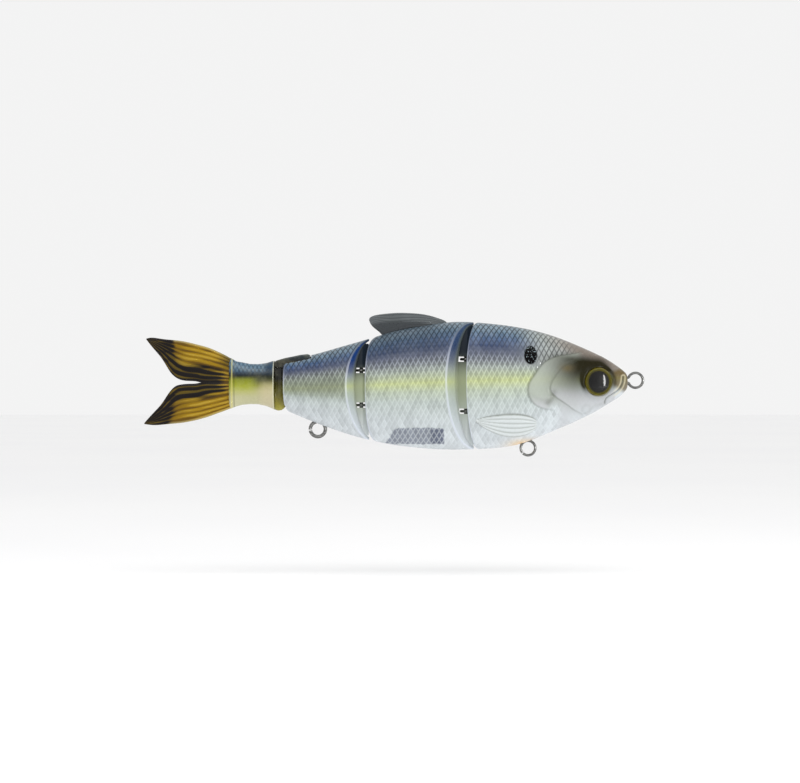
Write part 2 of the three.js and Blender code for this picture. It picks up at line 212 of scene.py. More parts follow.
outline = {
    "nose": -2.9,
    "widest": 0.55,  # height of the widest line as a share of the depth
    "back": 0.95,  # fullness above the widest line
    "belly": 1.15,  # fullness below it
    "stations": [  # distance behind the nose, top, bottom, half width
        (0.0, -0.9, -0.9, 0.0),
        (0.25, 1.2, -2.8, 1.7),
        (1.2, 3.1, -4.3, 3.0),
        (2.7, 4.4, -5.9, 3.9),
        (5.7, 6.5, -7.8, 5.2),
        (10.2, 9.1, -10.6, 6.8),
        (18.5, 12.9, -14.9, 9.0),
        (30.5, 17.4, -20.1, 10.9),
        (42.5, 20.1, -24.4, 11.6),
        (54.5, 21.5, -25.7, 11.8),
        (66.5, 21.8, -26.0, 11.7),
        (77.7, 20.2, -25.4, 11.4),
        (87.1, 18.5, -24.3, 10.9),
        (96.9, 15.6, -22.4, 10.1),
        (107.7, 12.5, -19.3, 9.0),
        (118.1, 9.6, -15.5, 7.6),
        (129.7, 7.5, -10.7, 6.0),
    ],
}
stations = np.array(outline["stations"])
topLine, bottomLine, halfLine = (curveThrough(np.sqrt(stations[:, 0]), stations[:, k]) for k in (1, 2, 3))


def section(x, turn):  # the skin at distance x; turn runs from 0 at the back to pi at the belly
    behind = np.sqrt(np.maximum(outline["nose"] - x, 0))
    top, bottom, half = topLine(behind), bottomLine(behind), halfLine(behind)
    level = bottom + outline["widest"] * (top - bottom)
    up, out = np.cos(turn), np.clip(np.sin(turn), 0, 1)
    y = half * out ** np.where(up >= 0, outline["back"], outline["belly"])
    z = level + up * np.where(up >= 0, top - level, level - bottom)
    return np.maximum(y, seamGap), z, level, half


def girth(x, turn, steps=24):  # distance round the skin from its widest line, down positive
    total = np.zeros(np.broadcast(x, turn).shape)
    y0, z0, _, _ = section(x, np.full_like(turn, math.pi / 2))
    for k in range(1, steps + 1):
        y1, z1, _, _ = section(x, math.pi / 2 + (turn - math.pi / 2) * k / steps)
        total += np.hypot(y1 - y0, z1 - z0)
        y0, z0 = y1, z1
    return np.where(turn > math.pi / 2, total, -total)


def rim(turn, centre, slope):  # where the skin meets a V face
    x = np.full_like(turn, centre)
    for _ in range(40):
        x = centre - slope * section(x, turn)[0]
    return x


print("outline ready")

# scales: upright diamonds in rows

scales = {"wide": 1.94, "tall": 3.9, "depth": 0.13}


def diamond(across, down):
    a = across / scales["wide"] + down / scales["tall"]
    b = across / scales["wide"] - down / scales["tall"]
    fa, fb = np.abs((a % 1) - 0.5) * 2, np.abs((b % 1) - 0.5) * 2
    return 1 - np.maximum(fa, fb) ** 2.2  # 0 on the lines, 1 in the middle


# the face of the fish, on the head section

face = {
    "gillEdge": [
        (-21.0, 10.2), (-24.9, 9.5), (-29.9, 8.7), (-35.2, 6.1), (-38.6, 1.7), (-40.4, -1.1), (-40.8, -4.2),
        (-40.2, -6.4), (-37.4, -9.5), (-34.6, -10.5), (-31.0, -10.9),
    ],
    "gillFront": [(-30.0, -16.5), (-30.0, -40.0), (4.0, -40.0), (4.0, 13.0), (-14.0, 9.0)],
    "cheekEdge": [
        (-22.5, 7.2), (-24.9, 6.1), (-27.7, 4.8), (-30.2, 2.0), (-32.2, -1.1), (-32.5, -3.6), (-30.8, -5.9),
        (-27.1, -8.4), (-24.0, -10.6), (-20.5, -12.4),
    ],
    "cheekFront": [(-16.0, -16.0), (-8.0, -10.0), (-8.0, 6.0)],
    "mouth": [
        (-4.9, 1.2), (-5.1, -0.5), (-5.9, -2.6), (-7.6, -4.4), (-10.2, -5.8), (-11.6, -7.2), (-11.8, -8.6),
    ],
    "lip": [(-3.3, 1.9), (-4.9, 2.7), (-7.0, 2.9), (-9.9, 3.6)],
    "jawJoint": (-19.0, -10.8),
    "eye": (-14.4, -0.6),
    "gillFold": [(-38.5, -5.2), (-35.5, -6.6), (-33.0, -7.4)],
    "gillStem": [(-31.4, -4.4), (-32.2, -6.6), (-33.6, -8.6)],
    "jawLine": [(-19.0, -12.2), (-15.6, -9.6), (-12.4, -8.8)],
    "throat": [(-31.5, -10.6), (-28.5, -13.6), (-24.0, -15.6)],
    "fin": {
        "root": (-37.4, -16.4), "tip": (-60.6, -15.0), "sag": 1.1, "rays": 5,
        "half": 3.7, "rootHalf": 0.9,  # half heights
        "fullest": 0.8, "blunt": 0.75,  # how it swells and ends
    },
    "spot": (-39.9, 9.3, 2.45, 3.45),  # middle, then half width and half height
}
relief = {  # height or depth in mm, then width or how far in it falls off
    "gill": (0.4, 5.0), "cheek": (0.34, 4.0), "groove": (0.16, 0.45), "mouth": (0.34, 0.34),
    "lip": (0.14, 0.6), "gillFold": (0.3, 1.1), "gillStem": (0.34, 1.0), "throat": (0.14, 0.9),
    "jawJoint": (0.3, 1.5),
    "eyeRim": (0.32, 0.7), "eyeRimRadius": 6.0, "eyeSeat": 1.6, "eyeSeatRadius": (5.5, 4.6),
    "fin": 0.22, "finRay": 0.2, "finEdge": 0.12, "step": 0.35, "grooveBack": 0.5,
}


def pectoral(x, z):  # height and ray pattern of the low fin on the flank
    fin = face["fin"]
    t = (fin["root"][0] - x) / (fin["root"][0] - fin["tip"][0])
    on = np.clip(t, 0, 1)
    mid = fin["root"][1] + (fin["tip"][1] - fin["root"][1]) * t - fin["sag"] * np.sin(math.pi * on)
    swell = np.clip(np.sin(math.pi * on ** fin["fullest"]), 0, 1) ** fin["blunt"]
    reach = fin["half"] * swell + fin["rootHalf"] * (1 - on)
    v = (z - mid) / np.maximum(reach, 0.05)
    inside = ease(1.08, 0.96, np.abs(v)) * ease(-0.02, 0.03, t) * ease(1.0, 0.97, t)
    rays = 0.5 + 0.5 * np.cos(v * math.pi * fin["rays"])
    edge = bump(np.abs(v) - 1.0, 0.09) * ease(-0.02, 0.05, t) * ease(1.02, 0.97, t)
    return inside, rays, edge


def headRelief(x, z):  # height over the skin, where scales may show, and the marks for the paint
    near = lambda key: farFrom(x, z, lineThrough(face[key]))
    ridge = lambda key, distance: relief[key][0] * bump(distance, relief[key][1])
    plate = lambda key, fade, depth: (
        relief[key][0] * fade * ease(-relief["step"], relief["step"], depth)
        * np.exp(-np.maximum(depth, 0) / relief[key][1]))

    gill, cheek = lineThrough(face["gillEdge"]), lineThrough(face["cheekEdge"])
    toGill, toCheek = farFrom(x, z, gill), farFrom(x, z, cheek)
    inGill = within(x, z, np.vstack([gill, face["gillFront"]]))
    inCheek = within(x, z, np.vstack([cheek, face["cheekFront"]]))
    gillDepth, cheekDepth = np.where(inGill, toGill, -toGill), np.where(inCheek, toCheek, -toCheek)
    gillOpen = [face["gillEdge"][-1], face["gillFront"][1]]  # the sides that have no edge of their own
    cheekOpen = [face["cheekEdge"][-1], *face["cheekFront"], face["cheekEdge"][0]]
    gillFade = ease(0, relief["gill"][1], farFrom(x, z, gillOpen))
    cheekFade = ease(0, relief["cheek"][1], farFrom(x, z, cheekOpen))

    mouth, lip, fold, stem = near("mouth"), near("lip"), near("gillFold"), near("gillStem")
    fromJaw = np.hypot(x - face["jawJoint"][0], z - face["jawJoint"][1])
    fromEye = np.hypot(x - face["eye"][0], z - face["eye"][1])
    toRim = fromEye - relief["eyeRimRadius"]
    fin, rays, edge = pectoral(x, z)
    height = plate("gill", gillFade, gillDepth)
    height += plate("cheek", cheekFade, cheekDepth)
    outside = relief["grooveBack"]
    height -= ridge("groove", gillDepth + outside) + ridge("groove", cheekDepth + outside)
    height += ridge("lip", lip) - ridge("mouth", mouth)
    height += ridge("gillFold", fold) - ridge("gillStem", stem)
    height += ridge("throat", near("throat"))
    height += ridge("jawJoint", fromJaw)
    height += ridge("eyeRim", toRim) - relief["eyeSeat"] * ease(*relief["eyeSeatRadius"], fromEye)
    height += fin * (relief["fin"] + relief["finRay"] * rays) - relief["finEdge"] * edge

    bare = np.maximum(inGill * gillFade, fin > 0.05)
    # painted shade: darker in the mouth groove, along the gill and cheek edges, in the gill fold, round the
    # jaw, under the pectoral fin and between its rays
    crease = np.clip(
        0.95 * bump(mouth, 0.32)
        + 0.42 * bump(gillDepth + 0.2, 0.5) * ease(-8.5, -2.0, z)
        + 0.2 * bump(gillDepth + 0.2, 0.3)
        + 0.26 * np.where(cheekDepth < 0.2, bump(cheekDepth - 0.2, 1.5), 0)
        + 0.5 * bump(stem, 1.1)
        + 0.26 * bump(np.hypot((x + 33.5) / 2.6, (z + 7.6) / 1.4), 1.0)
        + 0.16 * bump(fromJaw - 1.6, 0.6)
        + 0.18 * bump(near("jawLine"), 0.6)
        + 0.7 * edge * ease(-18.0, -14.4, z)
        + 0.12 * edge
        + 0.5 * fin * ease(0.4, 0.04, rays), 0, 1)
    cheekMark = np.maximum(
        gillFade * ease(-0.3, 0.3, gillDepth) * ease(-5.0, -10.0, z),
        ease(-0.3, 0.4, cheekDepth) * ease(-1.0, -6.0, z))
    spotX, spotZ, spotWide, spotTall = face["spot"]
    olive = (
        ease(10.6, 6.8, z + 0.1 * (x + 20)) * ease(-10.5, 4.2, z)
        * ease(-39.0, -21.5, x) * ease(-8.0, -14.5, x))
    marks = {
        "gill": ease(-0.3, 0.3, gillDepth) * ease(-13.0, -7.0, z) * ease(-20.0, -24.0, x) * gillFade,
        "cheek": cheekMark * (1 - 0.75 * ease(-8.0, -13.0, z) * ease(-29.0, -23.0, x)),
        "pale": fin,
        "crease": crease,
        "spot": ease(1.06, 0.94, np.hypot((x - spotX) / spotWide, (z - spotZ) / spotTall)),
        "olive": np.clip(olive + 0.8 * bump(toRim, 0.9) * ease(-6.5, 0.5, z), 0, 1),
        "headward": ease(-48.0, -33.0, x),
        "snout": (
            ease(-11.0, -8.2, x) * ease(-5.0, -2.2, z + 0.5 * (x + 6.0))
            * ease(5.4, 3.4, z - 0.4 * (x + 6.0))),
        "lipLine": bump(mouth - 0.75, 0.28) * ease(-9.5, -7.5, x),
        "rosy": ease(-38, -19, x) * ease(5.0, 11.5, z + 0.42 * (x + 22.0)) * (1 - 0.4 * ease(-9, -4, x)),
        "tawny": bump(np.hypot((x + 26.8) / 2.6, (z - 4.4) / 1.5), 1.0),
        "amber": bump(np.hypot((x + 40.5) / 6.0, (z + 24.6) / 2.1), 1.0),
    }
    return height, 1 - bare.astype(float), marks


# the shells of the three body sections

sections = {  # front and rear are a V face's middle and slope; radii are at the edges and at the middle
    "head": {
        "front": None, "rear": (-59.4, 0.39), "rearRadius": (0.8, 0.5), "columns": 290, "rows": 250,
    },
    "middle": {
        "front": (-60.6, 0.9), "frontRadius": (0.5, 0.45), "rear": (-99.0, 0.25), "rearRadius": (2.4, 0.5),
        "floor": -66.6, "inset": 4.7, "roof": 1.5, "sink": 0.95, "columns": 150, "rows": 210,
    },
    "rear": {
        "front": (-99.8, 0.92), "frontRadius": (0.45, 0.4), "rear": (-131.5, 0.08), "rearRadius": (2.2, 0.6),
        "floor": -105.8, "inset": 3.6, "roof": 1.2, "sink": 0.82, "columns": 130, "rows": 180,
    },
}
pocketLip = 0.35  # the small round where a V face turns down into its pocket
zones = {"skin": 0, "edge": 0.5, "face": 1, "pocketEdge": 1.75, "pocket": 2, "spine": 3.0}  # for the paint


def bendOver(start, corner, end, steps=7):  # points that round a corner
    t = np.linspace(0, 1, steps)[:, None, None]
    return (1 - t) ** 2 * start + 2 * t * (1 - t) * corner + t**2 * end


def sectionPoints(spec):
    turn = np.linspace(0, math.pi, spec["rows"])
    rounded = lambda pair: pair[1] + (pair[0] - pair[1]) * np.abs(np.cos(turn)) ** 6
    stack = lambda x, y, z: np.stack(np.broadcast_arrays(x, y, z), axis=-1)
    skinAt = lambda x: stack(x, *section(x, turn)[:2])

    centre, slope = spec["rear"]
    rearX = rim(turn, centre, slope)
    corner = skinAt(rearX)
    level = section(rearX, turn)[2]
    radius = rounded(spec["rearRadius"])
    toMiddle = np.hypot(corner[:, 1], corner[:, 2] - level)
    share = lambda k: stack(
        centre - slope * np.maximum(corner[:, 1] * k, seamGap),
        np.maximum(corner[:, 1] * k, seamGap),
        level + (corner[:, 2] - level) * k,
    )
    inner = 1 - radius / toMiddle
    rearFace = np.stack([share(inner * k) for k in np.linspace(0, 1, 8)])
    rearSkin = rearX + radius
    parts = [
        (rearFace[:-1], zones["face"]),
        (bendOver(share(inner), corner, skinAt(rearSkin))[:-1], zones["edge"]),
    ]

    if spec["front"] is None:
        u = np.linspace(1, 0, spec["columns"])
        behind = (outline["nose"] - rearSkin) * (u ** 1.35)[:, None]
        parts.append((skinAt(outline["nose"] - behind), zones["skin"]))
        return turn, parts

    apex, fall = spec["front"]
    frontX = rim(turn, apex, fall)
    corner = skinAt(frontX)
    radius = rounded(spec["frontRadius"])
    frontSkin = frontX - radius
    u = np.linspace(0, 1, spec["columns"])[:, None]
    parts.append((skinAt(rearSkin + (frontSkin - rearSkin) * u)[:-1], zones["skin"]))
    _, _, level, half = section(frontX, turn)
    edgeY = np.maximum(corner[:, 1] * (1 - spec["inset"] / half), seamGap)
    high = corner[:, 2] - level
    edgeZ = level + high * (1 - spec["roof"] / np.abs(high).max())
    edge = stack(apex - fall * edgeY, edgeY, edgeZ)
    run = np.linalg.norm(edge - corner, axis=1)
    strip = lambda k: corner + (edge - corner) * np.asarray(k)[..., None]
    first = np.clip(radius / run, 0, 0.45)
    parts.append((bendOver(skinAt(frontSkin), corner, strip(first))[:-1], zones["edge"]))
    last = 1 - np.clip(pocketLip / run, 0, 0.4)
    down = np.linspace(0, 1, 9)
    strips = np.stack([strip(first + (last - first) * k) for k in down])
    parts.append((strips[:-1], zones["face"] + 0.75 * down[:-1] ** 1.5))  # painted shade, darker towards the pocket
    floorX = np.minimum(spec["floor"], edge[:, 0] - 0.05)
    deep = edge[:, 0] - floorX
    wallTop = stack(edge[:, 0] - np.minimum(pocketLip, deep * 0.5), edgeY, edgeZ)
    sunk = level + (edgeZ - level) * spec["sink"]
    foot = stack(floorX, edgeY, sunk)
    parts.append((bendOver(strip(last), edge, wallTop, 5)[:-1], zones["pocketEdge"]))
    parts.append((np.stack([wallTop + (foot - wallTop) * k for k in (0, 0.5, 1)]), zones["pocket"]))
    floorY = lambda k: seamGap + (edgeY - seamGap) * (1 - k)
    parts.append((np.stack([stack(floorX, floorY(k), sunk) for k in (0.1, 0.3, 0.6, 1)]), zones["pocket"]))
    return turn, parts


def yellowLine(x):  # height of the pale yellow stripe
    return np.interp(-x, [0, 52, 80, 115, 135], [1.0, 0.0, -1.0, -2.6, -3.5])


def bandAt(x, z):  # 0 at the belly, 0.5 on the yellow stripe, 1 at the back
    behind = np.sqrt(np.maximum(outline["nose"] - x, 0))
    yellow = yellowLine(x)
    above = (z - yellow) / np.maximum(topLine(behind) - yellow, 0.5)
    below = (z - yellow) / np.maximum(yellow - bottomLine(behind), 0.5)
    return 0.5 + 0.5 * np.clip(np.where(z > yellow, above, below), -1, 1)


def shadowOfBallast(x, z):  # where the middle section's ballast shows through its skin, painted as a shadow on it
    ends = ease(-93.8, -90.6, x - 0.5 * (z + 20)) * ease(-71.0, -72.4, x)
    return ends, ease(-16.6, -18.6, z) * ease(-24.8, -23.2, z) * (0.86 + 0.14 * ease(-77.6, -75.8, x))


def makeShell(name, spec, side, isHead=False):
    turn, parts = sectionPoints(spec)
    points = np.concatenate([part for part, _ in parts])
    zone = np.concatenate([
        np.broadcast_to(np.atleast_1d(mark).astype(float)[:, None], part.shape[:2]) for part, mark in parts
    ])
    x, z = points[..., 0], points[..., 2]
    rounds = girth(x, np.broadcast_to(turn, x.shape))
    height, showing, marks = headRelief(x, z) if isHead else (0, 1.0, {})
    if isHead:
        showing = showing * ease(-18.0, -30.0, x + 0.35 * (z - 9))
    skin = (zone < 0.25).astype(float)
    shown = showing * skin
    height = height + shown * scales["depth"] * (diamond(x, rounds) - 0.5)
    along, across = np.gradient(points, axis=0), np.gradient(points, axis=1)
    normal = np.cross(along, across)
    normal /= np.linalg.norm(normal, axis=-1, keepdims=True) + 1e-12
    outward = math.copysign(1, np.median(normal[zone < 0.25][:, 1]))
    fade = ease(0.15, 0.9, points[..., 1]) * skin
    points = points + normal * outward * (height * fade)[..., None]
    points[..., 1] = np.maximum(points[..., 1], seamGap) * side
    marks = dict(marks)
    marks["dusk"] = ease(-96.0, -104.0, x)
    marks["smoky"] = ease(-62.0, -80.0, x) * ease(-108.0, -98.0, x)
    if name.startswith("middle"):
        ends, heights = shadowOfBallast(x, z)
        marks["ballast"] = shown * ends * heights
    marks.update({
        "band": bandAt(x, z),
        "acrossScales": x / scales["wide"],
        "roundScales": rounds / scales["tall"],
        "scaly": shown,
        "zone": zone,
    })
    return sheetPiece(name, points, marks)


print("making the shells")
shells = {}
for name, spec in sections.items():
    right = makeShell(name + "ShellRight", spec, -1, name == "head")
    shells[name] = (right, mirrored(right, name + "ShellLeft"))
    print("  ", name, len(right.data.polygons), "faces a side")


# the spines that carry the hinge pins, inside each V nose

spines = {  # top and bottom are heights at the nose's edge and behind it; slots are the hinge windows
    "half": 2.6, "slotHalf": 1.0, "edge": 0.25, "back": 0.06, "slice": 1.4,
    "middle": {"top": (20.6, 20.2), "bottom": (-24.9, -24.6), "slots": (7.9, -11.6)},
    "rear": {"top": (13.8, 11.7), "bottom": (-20.8, -18.5), "slots": (3.7, -9.3)},
}


def boxPiece(name, x, y, z):
    clearSelection()
    bpy.ops.mesh.primitive_cube_add(size=1)
    obj = newObject(name)
    for corner in obj.data.vertices:
        for k, span in enumerate((x, y, z)):
            corner.co[k] = (span[0] if corner.co[k] < 0 else span[1]) * mm
    return obj


def rodPiece(name, x, z, radius, sides=48):  # an upright rod on the centre plane
    clearSelection()
    bpy.ops.mesh.primitive_cylinder_add(vertices=sides, radius=radius * mm, depth=(z[1] - z[0]) * mm)
    obj = newObject(name)
    for corner in obj.data.vertices:
        corner.co.x += x * mm
        corner.co.z += (z[0] + z[1]) / 2 * mm
    return obj


def carve(obj, cutter):
    applyModifier(obj, "BOOLEAN", operation="DIFFERENCE", solver="EXACT", object=cutter)
    bpy.data.objects.remove(cutter)


def paintByPlace(obj, zone):  # the marks that the paint reads, on a piece made from a primitive
    size = len(obj.data.vertices)
    place = np.empty(size * 3, dtype=np.float32)
    obj.data.vertices.foreach_get("co", place)
    x, _, z = place.reshape(-1, 3).T / mm
    putMarks(obj, {"band": bandAt(x, z), "zone": np.full(size, zone)})


def makeSpine(name, spec, joint):
    apex, fall = joint["front"]
    obj = boxPiece(name, (joint["floor"] - 1, apex), (-spines["half"], -seamGap), (-1, 1))
    for corner in obj.data.vertices:
        ahead = corner.co.x > (apex - 1) * mm
        end = spec["top"] if corner.co.z > 0 else spec["bottom"]
        corner.co.z = (end[0] if ahead else end[1]) * mm
        if ahead:
            corner.co.x = (apex - spines["back"]) * mm + fall * corner.co.y
    for z in spec["slots"]:
        span = (z - spines["slotHalf"], z + spines["slotHalf"])
        carve(obj, boxPiece("slotCut", (joint["floor"], apex + 2), (-8, 8), span))
    applyModifier(obj, "BEVEL", width=spines["edge"] * mm, segments=3, limit_method="ANGLE")
    for z in np.arange(spec["bottom"][0] + 1, spec["top"][0], spines["slice"]):  # points enough for the paint
        editAll(obj, lambda: bpy.ops.mesh.bisect(plane_co=(0, 0, z * mm), plane_no=(0, 0, 1)))
    paintByPlace(obj, zones["spine"])
    smooth(obj, 35)
    return obj


print("making the spines")
for name in ("middle", "rear"):
    right = makeSpine(name + "SpineRight", spines[name], sections[name])
    shells[name] += (right, mirrored(right, name + "SpineLeft"))

# the soft tail: a tab on the back, a keyed tongue, a neck and a stalk, in one piece

softTail = {
    "tongueGrid": (72, 150), "tabGrid": (48, 60),  # points around and along
    "fleckFrom": (-137.5, -140.0), "fleckAbove": (2.0, 4.5), "fleckRise": 0.02,
    "tongue": [  # distance, top, bottom, half width, squareness
        (-122.0, 4.6, -8.8, 1.6, 0.5), (-122.4, 5.1, -9.3, 2.4, 0.5), (-124.9, 5.2, -9.4, 3.0, 0.5),
        (-127.2, 5.2, -9.4, 2.5, 0.4), (-130.9, 5.4, -9.5, 2.4, 0.4), (-131.7, 6.9, -10.5, 2.4, 0.5),
        (-132.6, 7.5, -11.2, 2.5, 0.6), (-134.0, 7.6, -11.4, 2.7, 0.7), (-134.9, 7.2, -11.1, 3.1, 0.8),
        (-135.12, 7.1, -11.0, 4.4, 0.95), (-135.25, 7.2, -11.0, 5.2, 1.0), (-135.6, 7.35, -10.95, 5.55, 1.0),
        (-136.2, 7.2, -10.6, 5.5, 1.0), (-138.4, 6.5, -9.7, 4.9, 1.0), (-141.4, 6.1, -9.0, 4.2, 1.0),
        (-144.4, 6.15, -8.95, 3.6, 1.0), (-147.4, 6.75, -9.2, 3.1, 1.0), (-149.6, 7.1, -9.8, 2.8, 1.0),
        (-151.2, 8.1, -10.4, 2.5, 1.0), (-151.7, 8.4, -10.7, 2.35, 0.9), (-152.1, 8.3, -10.6, 2.0, 0.9),
        (-152.4, 7.8, -10.1, 1.2, 0.9),
    ],
    "tab": [
        (-121.7, 8.7, 7.8, 2.6, 0.4), (-122.0, 9.5, 7.3, 3.2, 0.35), (-122.8, 9.85, 7.1, 3.4, 0.35),
        (-125.6, 9.55, 6.0, 3.4, 0.35), (-128.6, 8.9, 4.6, 3.4, 0.35), (-131.2, 8.4, 4.5, 3.4, 0.35),
        (-133.0, 7.9, 4.5, 3.35, 0.35), (-134.6, 7.4, 4.4, 3.3, 0.4), (-135.4, 6.9, 4.6, 2.8, 0.5),
    ],
}


def loftPoints(rings, around, steps):
    rings = np.array(rings, float)
    along = np.concatenate([[0], np.cumsum(np.hypot(np.diff(rings[:, 0]), np.diff(rings[:, 3])))])
    fine = np.unique(np.concatenate([np.linspace(0, along[-1], steps), along]))
    straight = lambda k: np.interp(fine, along, rings[:, k])
    average = lambda values: np.convolve(np.pad(values, 2, "edge"), np.ones(5) / 5, "valid")
    soft = lambda k: 0.5 * (straight(k) + average(straight(k)))
    x, top, bottom, half, square = (soft(k) if k in (1, 2, 3) else straight(k) for k in range(5))
    turn = np.linspace(0, 2 * math.pi, around + 1)
    power = square[:, None]
    up = np.sign(np.cos(turn)) * np.abs(np.cos(turn)) ** power
    out = np.sign(np.sin(turn)) * np.abs(np.sin(turn)) ** power
    mid, high = ((top + bottom) / 2)[:, None], ((top - bottom) / 2)[:, None]
    return np.stack([x[:, None] + 0 * out, half[:, None] * out, mid + high * up], axis=-1)


def makeSoftTail():
    spec = softTail
    points = loftPoints(spec["tongue"], *spec["tongueGrid"])
    x, z = points[..., 0], points[..., 2]
    flecks = ease(*spec["fleckFrom"], x) * ease(*spec["fleckAbove"], z) * diamond(x * 1.3, z * 1.6)
    points[..., 1] *= 1 + spec["fleckRise"] * flecks
    body = sheetPiece("softTail", points, {"height": z, "along": x, "fleck": flecks})
    points = loftPoints(spec["tab"], *spec["tabGrid"])
    tab = sheetPiece("softTailTab", points, {"height": points[..., 2], "along": points[..., 0]})
    joinTo(body, tab)
    smooth(body, 40)
    return body


print("making the soft tail")
tail = makeSoftTail()

# the socket for the tail in the rear section: an open-topped keyed slot

socket = {
    "front": -121.5, "rear": -135.0, "sky": 20, "room": 0.3,  # sky is any height above the back
    "rampTop": 6.9, "rampFoot": 4.2, "rampEnd": -128.6, "tabHalf": 3.4,
    "bladeFront": -122.9, "bladeFloor": -9.7, "bladeHalf": 2.45, "edgeFront": -130.9, "edgeFloor": -11.6,
    "key": (-124.9, 3.1), "pivot": (-133.4, 2.45), "pivotFloor": -20,
}


def cutSocket(shell):
    room, rear, sky = socket["room"], socket["rear"], socket["sky"]
    wide = 9  # past the skin
    strap, blade = (-socket["tabHalf"] - room, wide), (-socket["bladeHalf"] - room, wide)
    ramp = boxPiece("strapCut", (socket["rampEnd"], socket["front"]), strap, (0, sky))
    for corner in ramp.data.vertices:
        if corner.co.z < sky / 2 * mm:
            ahead = corner.co.x > (socket["rampEnd"] + socket["front"]) / 2 * mm
            corner.co.z = (socket["rampTop"] if ahead else socket["rampFoot"]) * mm
    carve(shell, ramp)
    carve(shell, boxPiece("strapCut", (rear, socket["rampEnd"] + 0.01), strap, (socket["rampFoot"], sky)))
    carve(shell, boxPiece("bladeCut", (rear, socket["bladeFront"]), blade, (socket["bladeFloor"], sky)))
    carve(shell, boxPiece("edgeCut", (rear, socket["edgeFront"]), blade, (socket["edgeFloor"], sky)))
    keyX, keyRadius = socket["key"]
    carve(shell, rodPiece("keyCut", keyX, (socket["bladeFloor"], sky), keyRadius + room))
    pivotX, pivotRadius = socket["pivot"]
    carve(shell, rodPiece("neckCut", pivotX, (socket["pivotFloor"], sky), pivotRadius + 2 * room))
    smooth(shell, 50)


print("cutting the tail socket")
bpy.data.objects.remove(shells["rear"][1])
cutSocket(shells["rear"][0])
shells["rear"] = (shells["rear"][0], mirrored(shells["rear"][0], "rearShellLeft")) + shells["rear"][2:]

# fins: thin lofts with raised rays

tailFin = {
    "thick": (2.3, 1.0), "edge": 0.7, "valley": 0.8,  # valley is the thickness between rays, as a share
    "rays": 6.5,
    "span": (-151.7, -184.0), "freeFrom": (-163.0, -163.9),
    "upper": {
        "end": 183.9,
        "outer": [
            (-151.7, 8.2), (-153.4, 9.2), (-156.4, 10.7), (-159.4, 12.0), (-164.6, 13.5), (-170.6, 14.8),
            (-178.1, 15.6), (-182.4, 15.9), (-183.5, 15.6),
        ],
        "inner": [
            (-151.7, -0.85), (-157.0, -0.85), (-163.2, -0.74), (-164.6, -0.45), (-167.6, -0.25),
            (-170.6, 0.2), (-172.1, 0.9), (-173.6, 2.1), (-175.9, 5.4), (-178.1, 8.8), (-180.4, 11.5),
            (-183.3, 15.1),
        ],
    },
    "lower": {
        "end": 184.6,
        "outer": [
            (-151.7, -10.5), (-153.4, -11.2), (-156.4, -12.3), (-159.4, -13.4), (-164.6, -14.9),
            (-170.6, -16.0), (-176.0, -16.5), (-181.0, -16.8), (-184.2, -16.4),
        ],
        "inner": [
            (-151.7, -0.75), (-157.0, -0.75), (-163.2, -0.86), (-164.6, -1.15), (-167.6, -1.3),
            (-170.6, -1.6), (-172.1, -2.0), (-173.6, -3.1), (-175.9, -6.1), (-178.1, -9.3),
            (-180.4, -11.8), (-184.1, -15.9),
        ],
    },
}
dorsalFin = {
    "thick": (1.6, 0.9), "edge": 0.6, "valley": 0.86,
    "rays": 7, "end": 100.2, "freeFrom": (-94.0, -96.0),
    "top": [
        (-70.2, 21.2), (-71.5, 22.3), (-73.1, 23.0), (-76.5, 24.1), (-80.6, 24.9), (-84.5, 25.2),
        (-88.1, 25.3), (-93.4, 25.0), (-97.1, 24.5), (-98.8, 24.0), (-99.7, 23.3), (-99.9, 22.7),
    ],
    "low": [
        (-70.2, 20.8), (-72.5, 20.0), (-79.6, 18.7), (-87.4, 17.2), (-93.0, 16.0), (-94.9, 16.9),
        (-96.0, 18.0), (-97.1, 18.9), (-98.6, 20.2), (-99.5, 21.5), (-99.85, 22.4),
    ],
}


def finSheet(outer, inner, columns=150, rows=70):  # points between two edges, and their distances to both
    a, b = lineThrough(outer, columns), lineThrough(inner, columns)
    v = 0.5 - 0.5 * np.cos(np.linspace(0, math.pi, rows))
    flat = a[:, None, :] * (1 - v[None, :, None]) + b[:, None, :] * v[None, :, None]
    width = np.linalg.norm(a - b, axis=1)
    return flat, v, v[None, :] * width[:, None], (1 - v[None, :]) * width[:, None]


def plateFrom(name, flat, halfThick, marks):  # closes a front and a back sheet into one body
    front = np.stack([flat[..., 0], -halfThick, flat[..., 1]], -1)
    back = np.stack([flat[..., 0], halfThick, flat[..., 1]], -1)
    loop = np.concatenate([front, back[:, ::-1], front[:, :1]], axis=1)
    wrapped = {key: np.concatenate([m, m[:, ::-1], m[:, :1]], axis=1) for key, m in marks.items()}
    return sheetPiece(name, loop, wrapped)


def finOutline(spec, end, x, toFirst, toSecond):  # rounds a fin's free edges; its root stays full
    free = ease(*spec["freeFrom"], x)
    second = roundEdge(toSecond, spec["edge"]) * free + 1 - free
    return roundEdge(toFirst, spec["edge"]) * second * roundEdge(end + x, spec["edge"])


